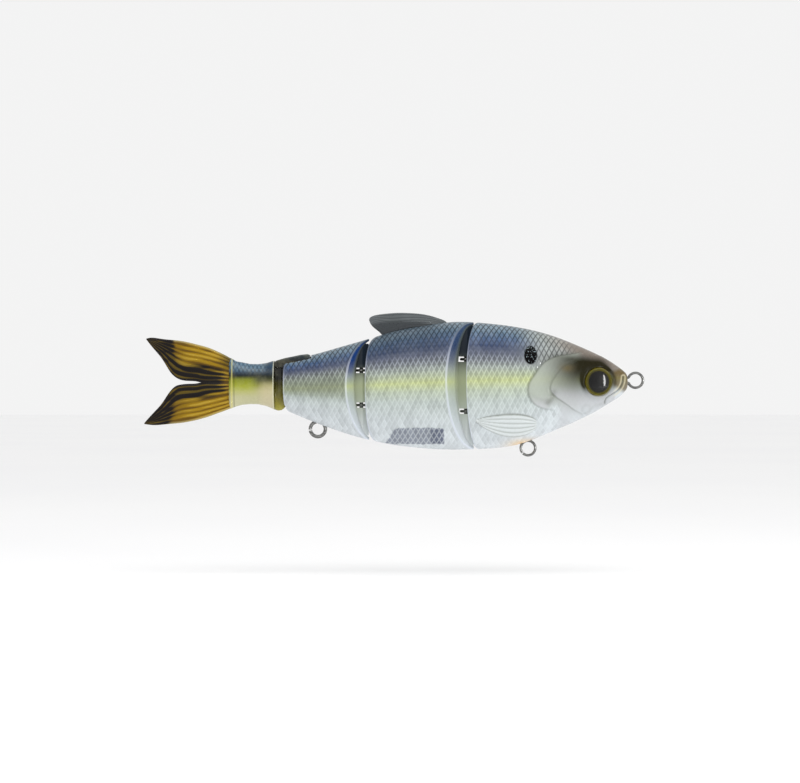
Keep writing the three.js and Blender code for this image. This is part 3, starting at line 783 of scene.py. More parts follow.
def makeLobe(name):
    spec = tailFin[name]
    flat, v, toOuter, toInner = finSheet(spec["outer"], spec["inner"])
    x, z = flat[..., 0], flat[..., 1]
    reach = ease(*tailFin["span"], x)
    shape = finOutline(tailFin, spec["end"], x, toOuter, toInner)
    drift = 0.02 * np.sin(x / 7) + 0.03 * np.sin(9 * v[None, :] + x / 11)
    ray = 0.5 + 0.5 * np.cos(2 * math.pi * tailFin["rays"] * (v[None, :] + drift))
    fineRay = 0.5 + 0.5 * np.cos(4 * math.pi * tailFin["rays"] * v[None, :])
    ray = ray * (1 - 0.35 * reach) + fineRay * 0.35 * reach
    root, tip = tailFin["thick"]
    valley = tailFin["valley"]
    half = (root + (tip - root) * reach) / 2 * shape * (valley + (1 - valley) * ray * ease(0, 1.2, toOuter))
    toFork = farFrom(x, z, lineThrough(spec["inner"][2:]))
    middle = np.abs(z + 0.8)
    black = (
        ease(8.5, 0.4, toFork) * ease(-156.0, -166.0, x)
        + ease(-171.5, -178.0, x)
        + ease(8.0, 0.6, middle) * ease(-150.0, -161.0, x))
    return plateFrom("tailFin" + name.title(), flat, half, {
        "ray": ray, "black": np.clip(black, 0, 1), "reach": reach, "rimEdge": ease(0.9, 0.2, toOuter),
        "root": ease(-158.0, -152.0, x) * ease(2.0, 6.5, z), "gold": ease(9.0, 1.0, toOuter),
    })


def makeTailFin():
    fin, lower = makeLobe("upper"), makeLobe("lower")
    joinTo(fin, lower)
    fin.name = fin.data.name = "tailFinRayed"
    smooth(fin, 60)
    return fin


def makeDorsalFin():
    flat, v, toTop, toLow = finSheet(dorsalFin["top"], dorsalFin["low"], 130, 60)
    x = flat[..., 0]
    shape = finOutline(dorsalFin, dorsalFin["end"], x, toTop, toLow)
    ray = 0.5 + 0.5 * np.cos(2 * math.pi * dorsalFin["rays"] * v[None, :] + 0 * x)
    root, edge = dorsalFin["thick"]
    valley = dorsalFin["valley"]
    half = (edge + (root - edge) * ease(0, 6, toTop)) / 2 * shape * (valley + (1 - valley) * ray)
    return plateFrom("dorsalFinRayed", flat, half, {"ray": ray, "deep": ease(0, 7, toTop)})


print("making the fins")
finTail, finBack = makeTailFin(), makeDorsalFin()

# eyes: a domed printed disc under a clear lens

eyes = {
    "place": (-14.4, 7.0, -0.6), "yaw": 15,
    "disc": {"radius": 4.95, "rise": 0.9, "foot": -1.0},
    "lens": {"radius": 5.3, "rise": 1.84, "foot": -0.5},
    "skirt": (0.55, 0.835),  # how far down the sphere the straight side reaches, and its radius there
    "footSteep": 1.6,
}


def domePiece(name, spec):  # a low dome facing out from one cheek
    clearSelection()
    bpy.ops.mesh.primitive_uv_sphere_add(segments=64, ring_count=56, radius=1)
    obj = newObject(name)
    yaw = math.radians(-eyes["yaw"])
    px, py, pz = eyes["place"]
    skirt, skirtRadius = eyes["skirt"]
    for corner in obj.data.vertices:
        across, up, depth = corner.co
        r = math.hypot(across, up)
        under = depth < 0 and r > 0
        share = spec["radius"]
        if under:
            share = spec["radius"] * (1 if depth > -skirt else r / skirtRadius)
            across, up = across / r, up / r
        across, up = across * share, up * share
        out = spec["rise"] * depth if depth >= 0 else spec["foot"] * min(1, -depth * eyes["footSteep"])
        corner.co = (
            (px + across * math.cos(yaw) - out * math.sin(yaw)) * mm,
            -(py + across * math.sin(yaw) + out * math.cos(yaw)) * mm,
            (pz + up) * mm,
        )
    corners = np.array([list(v.co) for v in obj.data.vertices]) / mm
    putMarks(obj, {"radial": np.hypot((corners[:, 0] - px) / math.cos(yaw), corners[:, 2] - pz)})
    editAll(obj, lambda: bpy.ops.mesh.normals_make_consistent(inside=False))
    smooth(obj, 40)
    return obj


print("making the eyes")
discRight = domePiece("eyeDiscRight", eyes["disc"])
lensRight = domePiece("eyeLensRight", eyes["lens"])
discLeft, lensLeft = mirrored(discRight, "eyeDiscLeft"), mirrored(lensRight, "eyeLensLeft")

# wire: line tie, belly hangers, hinge loops and pins

wires = {
    "thin": 0.5, "thick": 0.68, "pin": 0.7, "pinEdge": 0.12, "loop": 1.8,
    "tie": {
        "ring": 2.78, "start": 155, "sweep": -310,
        "legs": [(-12.0, 0.75), (-4.6, 0.75), (-3.7, 0.78), (-3.1, 0.92)],
    },
    "gap": 353,  # how far round a hanger's ring runs
    "hangers": {
        "front": {
            "body": "head", "wire": "thin", "x": -40.3, "z": -25.4,
            "ring": 2.72, "opening": 226, "shank": -15.0,
        },
        "rear": {
            "body": "rear", "wire": "thick", "x": -119.1, "z": -18.3,
            "ring": 2.82, "opening": 190, "shank": -12.0,
        },
    },
    "hinges": {  # the pin's section has the windows that its loops reach into
        "front": {"loops": "head", "pin": "middle", "x": -63.6, "span": (-16, 12.5)},
        "rear": {"loops": "middle", "pin": "rear", "x": -102.8, "span": (-13.2, 7.8)},
    },
    "loopLegs": [(2.6, 0.38), (3.6, 0.3), (9, 0.3)],  # distance ahead of the pin, and to one side
}


def wirePiece(name, points, radius):
    clearSelection()
    line = bpy.data.curves.new(name, "CURVE")
    line.dimensions = "3D"
    spline = line.splines.new("POLY")
    spline.points.add(len(points) - 1)
    for target, place in zip(spline.points, points):
        target.co = (place[0] * mm, place[1] * mm, place[2] * mm, 1)
    line.bevel_depth, line.bevel_resolution, line.use_fill_caps = radius * mm, 5, True
    obj = bpy.data.objects.new(name, line)
    bpy.context.collection.objects.link(obj)
    pick(obj)
    bpy.ops.object.convert(target="MESH")
    obj = bpy.context.object
    editAll(
        obj,
        lambda: bpy.ops.mesh.remove_doubles(threshold=0.001 * mm),
        lambda: bpy.ops.mesh.normals_make_consistent(inside=False),
    )
    smooth(obj, 50)
    return obj


def arc(x, z, radius, start, sweep, steps=72):
    turn = np.radians(start + np.linspace(0, sweep, steps))
    return [(x + radius * math.cos(a), 0, z + radius * math.sin(a)) for a in turn]


def makeLineTie():
    tie = wires["tie"]
    leg = [(x, 0, z) for x, z in tie["legs"]]
    ring = arc(0, 0, tie["ring"], tie["start"], tie["sweep"])
    path = leg + ring + [(x, y, -z) for x, y, z in reversed(leg)]
    return wirePiece("lineTieWire", lineThrough(path, 160), wires["thin"])


def makeHanger(name, spec):
    radius = wires[spec["wire"]]
    ring = arc(spec["x"], spec["z"], spec["ring"], spec["opening"], wires["gap"])
    hanger = wirePiece(name + "HangerRing", ring, radius)
    top = spec["z"] + spec["ring"]
    leg = [(spec["x"], 0, top), (spec["x"], 0, spec["shank"])]
    joinTo(hanger, wirePiece(name + "HangerShank", leg, radius))
    return hanger


def makeHingeLoop(name, x, z):
    turn = np.radians(np.linspace(25, 335, 60))
    loop = [(x + wires["loop"] * math.cos(a), -wires["loop"] * math.sin(a), z) for a in reversed(turn)]
    legs = [(x + ahead, aside, z) for ahead, aside in wires["loopLegs"]]
    path = legs[::-1] + loop + [(px, -py, pz) for px, py, pz in legs]
    return wirePiece(name, lineThrough(path, 110), wires["thin"])


def makeHingePin(name, x, span):
    rod = rodPiece(name, x, span, wires["pin"])
    applyModifier(rod, "BEVEL", width=wires["pinEdge"] * mm, segments=2, limit_method="ANGLE")
    smooth(rod, 40)
    return rod


def makeWires():  # each piece with its body and the node that it stands in for
    pieces = [(makeLineTie(), "head", "line_tie")]
    for name, spec in wires["hangers"].items():
        pieces.append((makeHanger(name, spec), spec["body"], name + "_belly_hanger"))
    for name, spec in wires["hinges"].items():
        for place, z in zip(("Upper", "Lower"), spines[spec["pin"]]["slots"]):
            loop = makeHingeLoop(name + "Hinge" + place + "Wire", spec["x"], z)
            pieces.append((loop, spec["loops"], f"{name}_hinge_{place.lower()}_loop"))
        pin = makeHingePin(name + "HingeRod", spec["x"], spec["span"])
        pieces.append((pin, spec["pin"], name + "_hinge_pin"))
    return pieces


print("making the wires")
wirePieces = makeWires()

# paint and finishes

studioCast = {"shade": 0.9, "gloss": 0.016, "least": 0.0012}  # what the light and the gloss add to a paint
mixSockets = {"first": 6, "second": 7, "result": 2}  # by number, since a Mix node's sockets share their names
middleGray = 0.5  # factors are kept at half, since a ramp's colours end at 1


def tone(red, green, blue):  # a colour as the eye reads it, 0 to 255
    channel = lambda c: c / 255 / 12.92 if c / 255 <= 0.04045 else ((c / 255 + 0.055) / 1.055) ** 2.4
    paintOf = lambda c: max(studioCast["shade"] * channel(c) - studioCast["gloss"], studioCast["least"])
    return (paintOf(red), paintOf(green), paintOf(blue), 1.0)


def gray(value):
    return (value, value, value, 1.0)


class Paint:  # a small workbench for one material's nodes
    def __init__(self, name, roughness, **settings):
        self.material = bpy.data.materials.new(name)
        self.material.use_nodes = True
        self.tree = self.material.node_tree
        self.shader = self.tree.nodes["Principled BSDF"]
        self.shader.inputs["Roughness"].default_value = roughness
        for key, value in settings.items():
            self.shader.inputs[key.replace("_", " ")].default_value = value

    def plug(self, target, value):
        if hasattr(value, "is_linked") or hasattr(value, "links"):
            self.tree.links.new(value, target)
        else:
            target.default_value = value

    def mark(self, name):
        node = self.tree.nodes.new("ShaderNodeAttribute")
        node.attribute_name = name
        return node.outputs["Fac"]

    def math(self, kind, a, b=0.0):
        node = self.tree.nodes.new("ShaderNodeMath")
        node.operation = kind
        self.plug(node.inputs[0], a)
        self.plug(node.inputs[1], b)
        return node.outputs[0]

    def times(self, a, b):
        return self.math("MULTIPLY", a, b)

    def plus(self, a, b):
        return self.math("ADD", a, b)

    def apart(self, a, b):
        return self.math("ABSOLUTE", self.math("SUBTRACT", a, b))

    def between(self, value, low, high, start=0.0, end=1.0):  # eased from start at low to end at high
        node = self.tree.nodes.new("ShaderNodeMapRange")
        node.interpolation_type = "SMOOTHSTEP"
        self.plug(node.inputs["Value"], value)
        for key, item in zip(("From Min", "From Max", "To Min", "To Max"), (low, high, start, end)):
            self.plug(node.inputs[key], item)
        return node.outputs["Result"]

    def straight(self, value, low, high, start=0.0, end=1.0):
        out = self.between(value, low, high, start, end)
        out.node.interpolation_type = "LINEAR"
        return out

    def ramp(self, value, stops):
        node = self.tree.nodes.new("ShaderNodeValToRGB")
        marks = node.color_ramp.elements
        while len(marks) < len(stops):
            marks.new(0.5)
        for element, (place, colour) in zip(marks, sorted(stops, key=lambda s: s[0])):
            element.position = place
            element.color = colour
        self.plug(node.inputs["Fac"], value)
        return node.outputs["Color"]

    def mix(self, amount, a, b, kind="MIX"):
        node = self.tree.nodes.new("ShaderNodeMix")
        node.data_type = "RGBA"
        node.blend_type = kind
        self.plug(node.inputs["Factor"], amount)
        self.plug(node.inputs[mixSockets["first"]], a)
        self.plug(node.inputs[mixSockets["second"]], b)
        return node.outputs[mixSockets["result"]]

    def place(self, scale=(1, 1, 1)):
        source = self.tree.nodes.new("ShaderNodeTexCoord")
        mapping = self.tree.nodes.new("ShaderNodeMapping")
        mapping.inputs["Scale"].default_value = scale
        self.tree.links.new(source.outputs["Object"], mapping.inputs["Vector"])
        return mapping.outputs["Vector"]

    def noise(self, scale, detail=3.0, stretch=(1, 1, 1)):
        node = self.tree.nodes.new("ShaderNodeTexNoise")
        self.tree.links.new(self.place(stretch), node.inputs["Vector"])
        node.inputs["Scale"].default_value = scale
        node.inputs["Detail"].default_value = detail
        return node.outputs["Fac"]

    def relief(self, height, strength, distance):
        node = self.tree.nodes.new("ShaderNodeBump")
        node.inputs["Strength"].default_value = strength
        node.inputs["Distance"].default_value = distance
        self.plug(node.inputs["Height"], height)
        self.tree.links.new(node.outputs["Normal"], self.shader.inputs["Normal"])

    def finish(self, colour=None, roughness=None, **more):
        if colour is not None:
            self.plug(self.shader.inputs["Base Color"], colour)
        if roughness is not None:
            self.plug(self.shader.inputs["Roughness"], roughness)
        for key, value in more.items():
            self.plug(self.shader.inputs[key.replace("_", " ")], value)
        return self.material


shellPaint = {
    "bands": [  # from the belly, 0, through the stripe, 0.5, to the back, 1
        (0.00, (210, 216, 220)), (0.20, (197, 204, 206)), (0.35, (182, 191, 187)), (0.43, (179, 189, 171)),
        (0.50, (186, 195, 144)), (0.55, (172, 181, 152)), (0.61, (160, 168, 160)), (0.67, (130, 135, 140)),
        (0.74, (97, 102, 118)), (0.80, (64, 74, 99)), (0.86, (62, 79, 106)), (0.93, (84, 99, 112)),
        (1.00, (102, 114, 121)),
    ],
    "scaleCentre": [  # band, how much lighter a scale's middle is
        (0.0, 1.0), (0.25, 0.92), (0.5, 0.87), (0.6, 0.78), (0.7, 0.62), (0.76, 0.86), (0.81, 1.25),
        (0.93, 1.85),
    ],
    "scaleLine": [  # the same for the lines between scales
        (0.0, 1.02), (0.25, 1.08), (0.5, 1.13), (0.6, 1.26), (0.7, 1.55), (0.76, 1.15), (0.81, 0.66),
        (0.93, 0.32),
    ],
    "headScale": (1.55, 0.38), "lineEdge": (0.3, 0.47), "fallingLine": 0.75, "uneven": (0.91, 1.09),
    "tints": [  # mark, colour, strength
        ("gill", (168, 174, 164), 0.8), ("cheek", (188, 190, 193), 0.8),
        ("pale", (212, 218, 218), 0.85), ("snout", (100, 84, 48), 0.85), ("olive", (48, 46, 16), 0.98),
        # crease is painted shade in the head's grooves and creases and under the pectoral fin
        ("tawny", (112, 96, 58), 0.45), ("amber", (255, 204, 112), 0.9), ("crease", (98, 102, 90), 0.68),
        ("lipLine", (214, 206, 176), 0.55), ("spot", (4, 5, 6), 1.0),
    ],
    "colours": {
        "cloud": (226, 232, 236), "rearStripe": (124, 131, 117), "headBack": (138, 142, 138),
        "rosy": (126, 114, 104), "ballast": (100, 106, 124), "smoke": (38, 50, 66), "fleck": (150, 165, 168),
        "middleNose": (66, 82, 112), "rearNose": (42, 68, 126), "litEdge": (214, 220, 238),
        "lowPocket": (204, 209, 206), "pocket": (172, 180, 150),
        "middlePocketTop": (44, 50, 60), "rearPocketTop": (20, 28, 42),
    },
    "coat": 0.18, "coatRoughness": 0.06, "specular": 0.12, "roughness": (0.18, 0.32), "lineRoughness": 0.12,
    "leak": (0.34, 0.6),  # a glow painted on the pockets for light that passes through the shell into the joints, and its share at the rear
    "calm": 0.3,  # share of the gloss that is left on the olive and on the spot
}


def shellTone(key):
    return tone(*shellPaint["colours"][key])


def scaleFactor(paint, band):  # the lines between scales, and how much lighter or darker the paint is there
    a, b = paint.mark("acrossScales"), paint.mark("roundScales")
    rising, falling = paint.plus(a, b), paint.math("SUBTRACT", a, b)
    softLine = lambda v: paint.between(paint.apart(paint.math("FRACT", v), 0.5), *shellPaint["lineEdge"])
    line = paint.math("MAXIMUM", softLine(rising), paint.times(softLine(falling), shellPaint["fallingLine"]))
    strengths = lambda key: paint.ramp(band, [(place, gray(k * middleGray)) for place, k in shellPaint[key]])
    factor = paint.mix(line, strengths("scaleCentre"), strengths("scaleLine"))
    onHeadBack = paint.times(paint.mark("headward"), paint.between(band, 0.58, 0.72))
    headCentre, headLine = (gray(k * middleGray) for k in shellPaint["headScale"])
    factor = paint.mix(onHeadBack, factor, paint.mix(line, headCentre, headLine))
    cell = paint.tree.nodes.new("ShaderNodeCombineXYZ")
    paint.plug(cell.inputs[0], paint.math("FLOOR", rising))
    paint.plug(cell.inputs[1], paint.math("FLOOR", falling))
    chance = paint.tree.nodes.new("ShaderNodeTexWhiteNoise")
    paint.plug(chance.inputs["Vector"], cell.outputs[0])
    each = paint.between(chance.outputs["Value"], 0.0, 1.0, *shellPaint["uneven"])
    factor = paint.mix(1.0, factor, each, "MULTIPLY")
    return line, paint.mix(paint.mark("scaly"), gray(middleGray), factor)


def skinColour(paint, band, line, factor):
    base = paint.ramp(band, [(place, tone(*colour)) for place, colour in shellPaint["bands"]])
    cloud = paint.between(paint.noise(260, 4.0), 0.35, 0.7, 0.0, 0.04)
    base = paint.mix(cloud, base, shellTone("cloud"))
    stripe = paint.between(paint.apart(band, 0.54), 0.25, 0.04)
    onSkin = paint.times(paint.mark("dusk"), paint.between(paint.mark("zone"), 0.5, 0.1))
    base = paint.mix(paint.times(paint.times(onSkin, stripe), 0.76), base, shellTone("rearStripe"))
    headBack = paint.times(paint.mark("headward"), paint.between(band, 0.6, 0.7, 0.0, 0.85))
    base = paint.mix(headBack, base, shellTone("headBack"))
    base = paint.mix(paint.times(paint.mark("rosy"), 0.85), base, shellTone("rosy"))
    # painted shadow of the hidden ballast, darker where it would show through a translucent shell
    weight = paint.mark("ballast")
    torn = paint.plus(weight, paint.between(paint.noise(520, 2.0, (1, 1, 0.6)), 0.3, 0.7, -0.2, 0.14))
    shadow = paint.times(paint.between(torn, 0.4, 0.72), paint.between(weight, 0.86, 0.98, 0.72, 0.96))
    shadow = paint.times(shadow, paint.straight(line, 0.0, 1.0, 1.0, 0.5))
    base = paint.mix(shadow, base, shellTone("ballast"))
    full = paint.mix(1.0, factor, gray(1 / middleGray), "MULTIPLY")
    colour = paint.mix(1.0, base, full, "MULTIPLY")
    smoke = paint.times(paint.mark("smoky"), paint.between(band, 0.72, 0.86, 0.0, 0.45))
    return paint.mix(smoke, colour, shellTone("smoke"))


def jointColour(paint, band, colour):  # the V faces with painted highlights on their rims, and the pockets ahead of the noses, whose tops are painted shade
    zone, dusk = paint.mark("zone"), paint.mark("dusk")
    onNose = paint.times(paint.between(zone, 0.6, 1.0), paint.between(band, 0.48, 0.92, 0.06, 0.8))
    colour = paint.mix(onNose, colour, paint.mix(dusk, shellTone("middleNose"), shellTone("rearNose")))
    # painted highlight: the rounded rims of the V faces are lightened
    onEdge = paint.times(paint.between(zone, 0.0, 0.45), paint.between(zone, 1.0, 0.6))
    lit = paint.times(onEdge, paint.between(band, 0.93, 0.68, 0.08, 0.32))
    colour = paint.mix(lit, colour, shellTone("litEdge"))
    inPocket = paint.between(zone, 1.2, 2.0)
    pocket = paint.mix(paint.between(band, 0.1, 0.45), shellTone("lowPocket"), shellTone("pocket"))
    colour = paint.mix(paint.times(inPocket, 0.7), colour, pocket)
    # painted shade: the back's navy paint turns near black at the top of the pockets and spines
    deep = paint.times(inPocket, paint.between(band, 0.53, 0.76, 0.0, 0.97))
    return paint.mix(deep, colour, paint.mix(dusk, shellTone("middlePocketTop"), shellTone("rearPocketTop")))


def makeShellPaint():
    paint = Paint("paintedShell", 0.3, Coat_Roughness=shellPaint["coatRoughness"])
    band = paint.mark("band")
    line, factor = scaleFactor(paint, band)
    colour = jointColour(paint, band, skinColour(paint, band, line, factor))
    for key, tint, strength in shellPaint["tints"]:
        colour = paint.mix(paint.times(paint.mark(key), strength), colour, tone(*tint))
    fleck = paint.times(paint.mark("spot"), paint.between(paint.noise(2400, 1.0), 0.62, 0.68))
    colour = paint.mix(fleck, colour, shellTone("fleck"))
    wear = paint.between(paint.noise(1400, 2.0), 0.3, 0.8, *shellPaint["roughness"])
    paint.relief(paint.noise(900, 3.0), 0.05, 0.0002)
    # painted light: the pockets and spines glow a little, for light passing through the translucent shell
    strong, atRear = shellPaint["leak"]
    leak = paint.between(paint.mark("zone"), 1.2, 2.0, 0.0, strong)
    leak = paint.times(leak, paint.straight(paint.mark("dusk"), 0.0, 1.0, 1.0, atRear))
    matt = paint.math("MAXIMUM", paint.mark("olive"), paint.mark("spot"))
    calm = paint.straight(matt, 0.0, 1.0, 1.0, shellPaint["calm"])
    return paint.finish(
        colour, paint.plus(wear, paint.times(line, shellPaint["lineRoughness"])),
        Emission_Color=colour, Emission_Strength=leak,
        Coat_Weight=paint.times(calm, shellPaint["coat"]),
        Specular_IOR_Level=paint.times(calm, shellPaint["specular"]))


metals = {
    "wire": ("drawnWire", (150, 150, 148), 0.24),
    "ballast": ("castBallast", (118, 122, 130), 0.5),
    "groove": 0.62,  # how much darker the drawn lines are
}


def makeMetal(name, colour, roughness):
    paint = Paint(name, roughness, Metallic=1.0)
    drawn = paint.noise(700, 3.0, (1, 1, 4))
    dark = [c * metals["groove"] for c in colour]
    shade = paint.mix(paint.between(drawn, 0.3, 0.75), tone(*colour), tone(*dark))
    paint.relief(paint.noise(2600, 2.0), 0.12, 0.0001)
    return paint.finish(shade, paint.between(drawn, 0.2, 0.8, roughness * 0.8, roughness * 1.5))


def makeDorsalPaint():
    paint = Paint("dorsalGrey", 0.32, Coat_Weight=0.3, Coat_Roughness=0.2, Specular_IOR_Level=0.3)
    # painted shade in the grooves and painted highlight on the ray crests, following the ray relief
    colour = paint.mix(paint.between(paint.mark("ray"), 0.1, 0.6), tone(80, 84, 86), tone(99, 104, 106))
    colour = paint.mix(paint.between(paint.mark("deep"), 0.22, 0.6), colour, tone(60, 64, 67))
    cloud = paint.between(paint.noise(320, 4.0, (0.3, 1, 1)), 0.4, 0.75, 0, 0.3)
    colour = paint.mix(cloud, colour, tone(62, 66, 66))
    paint.relief(paint.noise(1200, 3.0, (0.2, 1, 1)), 0.12, 0.0002)
    return paint.finish(colour, paint.between(paint.noise(900), 0.3, 0.8, 0.26, 0.42))


tailPaint = {
    "low": -12.0, "high": 10.0,  # heights that the colours run between
    "stalk": [  # height, colour
        (-12, (200, 198, 166)), (-6.5, (190, 188, 148)), (-4.2, (182, 180, 128)), (-2.2, (140, 142, 66)),
        (-0.2, (70, 74, 6)), (1.6, (32, 42, 28)), (3.2, (34, 54, 74)), (5.6, (48, 72, 92)),
        (9.8, (54, 66, 80)),
    ],
    "neck": [
        (-12, (164, 156, 66)), (-8, (126, 118, 44)), (-3, (92, 88, 32)), (0.5, (46, 46, 24)),
        (3.5, (12, 15, 17)), (7.0, (18, 25, 30)), (9.0, (42, 52, 58)), (10, (66, 76, 82)),
    ],
    "rings": [  # painted highlight and painted shade lines along the collar's rim and the ridge at the fin root: distance, half width, strength, colour
        (-135.65, 0.24, 0.6, (222, 222, 200)), (-135.15, 0.22, 0.6, (50, 46, 24)),
        (-151.25, 0.4, 0.6, (206, 196, 112)), (-150.4, 0.3, 0.45, (72, 64, 26)),
    ],
}


def makeSoftTailPaint():
    paint = Paint("softTailPaint", 0.3, Coat_Weight=0.3, Coat_Roughness=0.15, Specular_IOR_Level=0.25)
    low, high = tailPaint["low"], tailPaint["high"]
    level, along = paint.mark("height"), paint.mark("along")
    height = paint.straight(level, low, high)
    ramp = lambda key: paint.ramp(height, [((z - low) / (high - low), tone(*c)) for z, c in tailPaint[key]])
    blush = paint.times(paint.between(along, -143.0, -138.0), paint.between(level, 1.0, -3.0))
    stalk = paint.mix(paint.times(blush, 0.45), ramp("stalk"), tone(214, 198, 168))
    colour = paint.mix(paint.between(along, -135.9, -135.1), stalk, ramp("neck"))
    green = paint.times(paint.between(along, -140.5, -145.0), paint.between(level, -6.5, -2.5))
    green = paint.times(green, paint.between(level, 1.8, -0.2))
    colour = paint.mix(paint.times(green, 0.45), colour, tone(176, 184, 36))
    # painted highlights and painted shade lines beside the collar's rim and the fin-root ridge
    for place, wide, strength, tint in tailPaint["rings"]:
        ring = paint.between(paint.apart(along, place), wide, wide * 0.4)
        colour = paint.mix(paint.times(ring, strength), colour, tone(*tint))
    colour = paint.mix(paint.times(paint.mark("fleck"), 0.4), colour, tone(150, 184, 206))
    cloud = paint.between(paint.noise(420, 4.0), 0.4, 0.75, 0, 0.1)
    colour = paint.mix(cloud, colour, tone(200, 198, 160))
    paint.relief(paint.noise(1500, 2.0), 0.06, 0.0002)
    return paint.finish(colour, paint.between(paint.noise(800), 0.3, 0.8, 0.24, 0.4))


finPaint = {
    # ray and blackRay are painted highlights on the ray crests; valley is painted shade in the grooves
    # between the rays
    "inner": (140, 112, 28), "outer": (162, 128, 34), "ray": (176, 146, 58), "far": (92, 71, 18),
    "valley": (104, 80, 20), "rim": (176, 170, 130), "root": (56, 54, 26),
    "black": (40, 34, 17), "blackRay": (92, 78, 40),
}


def makeFinPaint():
    paint = Paint("finAmber", 0.34, Coat_Weight=0.12, Coat_Roughness=0.2, Specular_IOR_Level=0.14)
    tint = lambda key: tone(*finPaint[key])
    brushed = paint.between(paint.noise(420, 4.0, (0.12, 1, 1)), 0.3, 0.7, -0.24, 0.24)
    ray = paint.plus(paint.mark("ray"), brushed)
    gold = paint.mix(paint.mark("gold"), tint("inner"), tint("outer"))
    # painted highlight on the ray crests, then painted shade in the grooves between them
    gold = paint.mix(paint.between(ray, 0.7, 1.0), gold, tint("ray"))
    gold = paint.mix(paint.between(paint.mark("reach"), 0.4, 0.85, 0.0, 0.62), gold, tint("far"))
    colour = paint.mix(paint.between(ray, 0.0, 0.55), tint("valley"), gold)
    colour = paint.mix(paint.times(paint.mark("rimEdge"), 0.5), colour, tint("rim"))
    colour = paint.mix(paint.times(paint.mark("root"), 0.7), colour, tint("root"))
    streak = paint.between(paint.noise(170, 4.0, (0.22, 1, 1.8)), 0.3, 0.7, -0.26, 0.4)
    streak = paint.plus(streak, paint.between(ray, 0.0, 1.0, 0.2, -0.14))
    mark = paint.mark("black")
    near = paint.times(streak, paint.between(mark, 0.02, 0.3))
    black = paint.between(paint.plus(mark, near), 0.06, 0.8)
    # painted highlight on the ray crests within the black
    night = paint.mix(paint.between(ray, 0.5, 0.95), tint("black"), tint("blackRay"))
    colour = paint.mix(black, colour, night)
    paint.relief(paint.noise(1300, 2.0, (0.3, 1, 1)), 0.08, 0.0002)
    return paint.finish(colour, paint.between(paint.noise(700), 0.3, 0.8, 0.26, 0.42))


eyePaint = {
    "radius": 5.4,
    "rings": [  # distance from the middle, colour
        (0.0, (6, 8, 14)), (3.7, (8, 10, 14)), (3.95, (30, 30, 10)), (4.2, (84, 78, 24)),
        (4.55, (96, 92, 32)), (4.75, (62, 60, 18)), (4.92, (186, 176, 84)),
    ],
    "lensRim": (4.75, 5.15), "lensMiddle": (10, 12, 18), "lensEdge": (128, 118, 46), "alpha": (0.1, 0.5),
}


def makeEyePaint():
    paint = Paint("eyePrint", 0.35, Specular_IOR_Level=0.1, Coat_Weight=0.3, Coat_Roughness=0.02)
    radius = eyePaint["radius"]
    fine = paint.between(paint.noise(2400, 3.0), 0.3, 0.7, -0.05, 0.05)
    fromMiddle = paint.straight(paint.plus(paint.mark("radial"), fine), 0.0, radius)
    stops = [(place / radius, tone(*colour)) for place, colour in eyePaint["rings"]]
    return paint.finish(paint.ramp(fromMiddle, stops))


def makeLensPaint():
    paint = Paint("eyeLens", 0.03, IOR=1.5, Coat_Weight=0.3, Coat_Roughness=0.02, Specular_IOR_Level=0.3)
    rim = paint.between(paint.mark("radial"), *eyePaint["lensRim"])
    tint = paint.mix(rim, tone(*eyePaint["lensMiddle"]), tone(*eyePaint["lensEdge"]))
    clear, added = eyePaint["alpha"]
    alpha = paint.plus(paint.times(rim, added), clear)
    return paint.finish(tint, paint.between(paint.noise(600), 0.3, 0.8, 0.02, 0.05), Alpha=alpha)


print("mixing the paints")
finishes = {
    "painted_shell": makeShellPaint(),
    "wire": makeMetal(*metals["wire"]),
    "ballast": makeMetal(*metals["ballast"]),
    "eye_print": makeEyePaint(),
    "eye_lens": makeLensPaint(),
    "dorsal_fin": makeDorsalPaint(),
    "soft_tail": makeSoftTailPaint(),
    "tail_fin": makeFinPaint(),
}


def dress(obj, slotName):
    obj.data.materials.clear()
    obj.data.materials.append(finishes[slotName])


for name, pieces in shells.items():
    for k, piece in enumerate(pieces):
        side = "right" if k % 2 == 0 else "left"
        dress(piece, "painted_shell")
        belongs(piece, name, "painted_shell", f"{name}_shell_{side}")
dress(tail, "soft_tail")
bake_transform(tail)  # placing baked into the points
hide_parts("tail_plug", "tail_stalk")
dress(finTail, "tail_fin")
belongs(finTail, "tail", "tail_fin", "tail_fin")
dress(finBack, "dorsal_fin")
belongs(finBack, "middle", "dorsal_fin", "dorsal_fin")
for piece, finishName, node in (
    (discRight, "eye_print", "right_eye_disc"), (discLeft, "eye_print", "left_eye_disc"),
    (lensRight, "eye_lens", "right_eye_lens"), (lensLeft, "eye_lens", "left_eye_lens"),
):
    dress(piece, finishName)
    belongs(piece, "head", finishName, node)
for piece, body, node in wirePieces:
    dress(piece, "wire")
    belongs(piece, body, "wire", node)
for node in ("head_ballast", "middle_ballast_bar", "middle_ballast_slug"):
    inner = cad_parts[node]
    for k in range(len(inner.material_slots)):
        inner.material_slots[k].material = finishes["ballast"]

# floor, light and camera

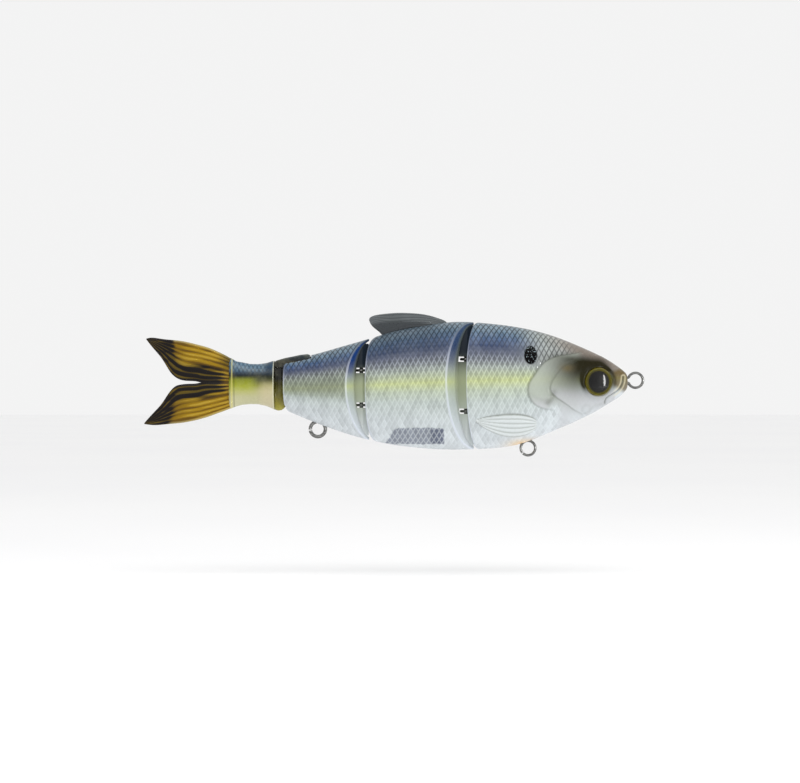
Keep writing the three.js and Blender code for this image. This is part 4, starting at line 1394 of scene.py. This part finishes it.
print("setting the stage")
studio = {  # in metres
    "floor": -0.075, "reach": 6.0, "pale": (0.97, 0.97, 0.97, 1), "dull": (0.955, 0.955, 0.96, 1),
    "world": 0.9, "lens": 100, "sensor": 36, "wide": 0.3, "aim": (-0.0883, 0.0, -0.0042),
    "key": {"place": (-0.1, -0.45, 0.62), "aim": (-0.09, 0, 0), "size": (0.7, 0.3), "power": 1.5},
    "strip": {"place": (0.40, -0.42, 0.03), "aim": (-0.0144, 0, 0), "size": (0.035, 0.2), "power": 1.4},
}
clearSelection()
bpy.ops.mesh.primitive_circle_add(
    vertices=96, radius=studio["reach"], fill_type="NGON", location=(0, 0, studio["floor"]))
floor = newObject("studioFloor")
floorPaint = Paint("floorPaint", 0.9)
patches = floorPaint.between(floorPaint.noise(3.0), 0.3, 0.7)
floor.data.materials.append(floorPaint.finish(floorPaint.mix(patches, studio["pale"], studio["dull"])))

world = bpy.data.worlds.new("studioWorld")
bpy.context.scene.world = world
world.use_nodes = True
world.node_tree.nodes["Background"].inputs["Color"].default_value = (1, 1, 1, 1)
world.node_tree.nodes["Background"].inputs["Strength"].default_value = studio["world"]


def areaLight(name, place, aim, size, power):
    lamp = bpy.data.lights.new(name, "AREA")
    lamp.shape, lamp.size, lamp.size_y, lamp.energy = "RECTANGLE", size[0], size[1], power
    obj = bpy.data.objects.new(name, lamp)
    bpy.context.collection.objects.link(obj)
    obj.location = place
    direction = np.array(aim) - np.array(place)
    obj.rotation_euler = Vector(direction).to_track_quat("-Z", "Y").to_euler()
    return obj


areaLight("keyLight", **studio["key"])
areaLight("stripLight", **studio["strip"])  # the streak on the eye

camera = bpy.data.objects.new("camera", bpy.data.cameras.new("camera"))
bpy.context.collection.objects.link(camera)
camera.data.lens = studio["lens"]
camera.data.sensor_width = studio["sensor"]
distance = studio["wide"] * studio["lens"] / studio["sensor"]
camera.location = (studio["aim"][0], -distance, studio["aim"][2])
camera.rotation_euler = (math.radians(90), 0, 0)
camera.data.clip_end = 50
bpy.context.scene.camera = camera
bpy.context.scene.view_settings.view_transform = "Standard"
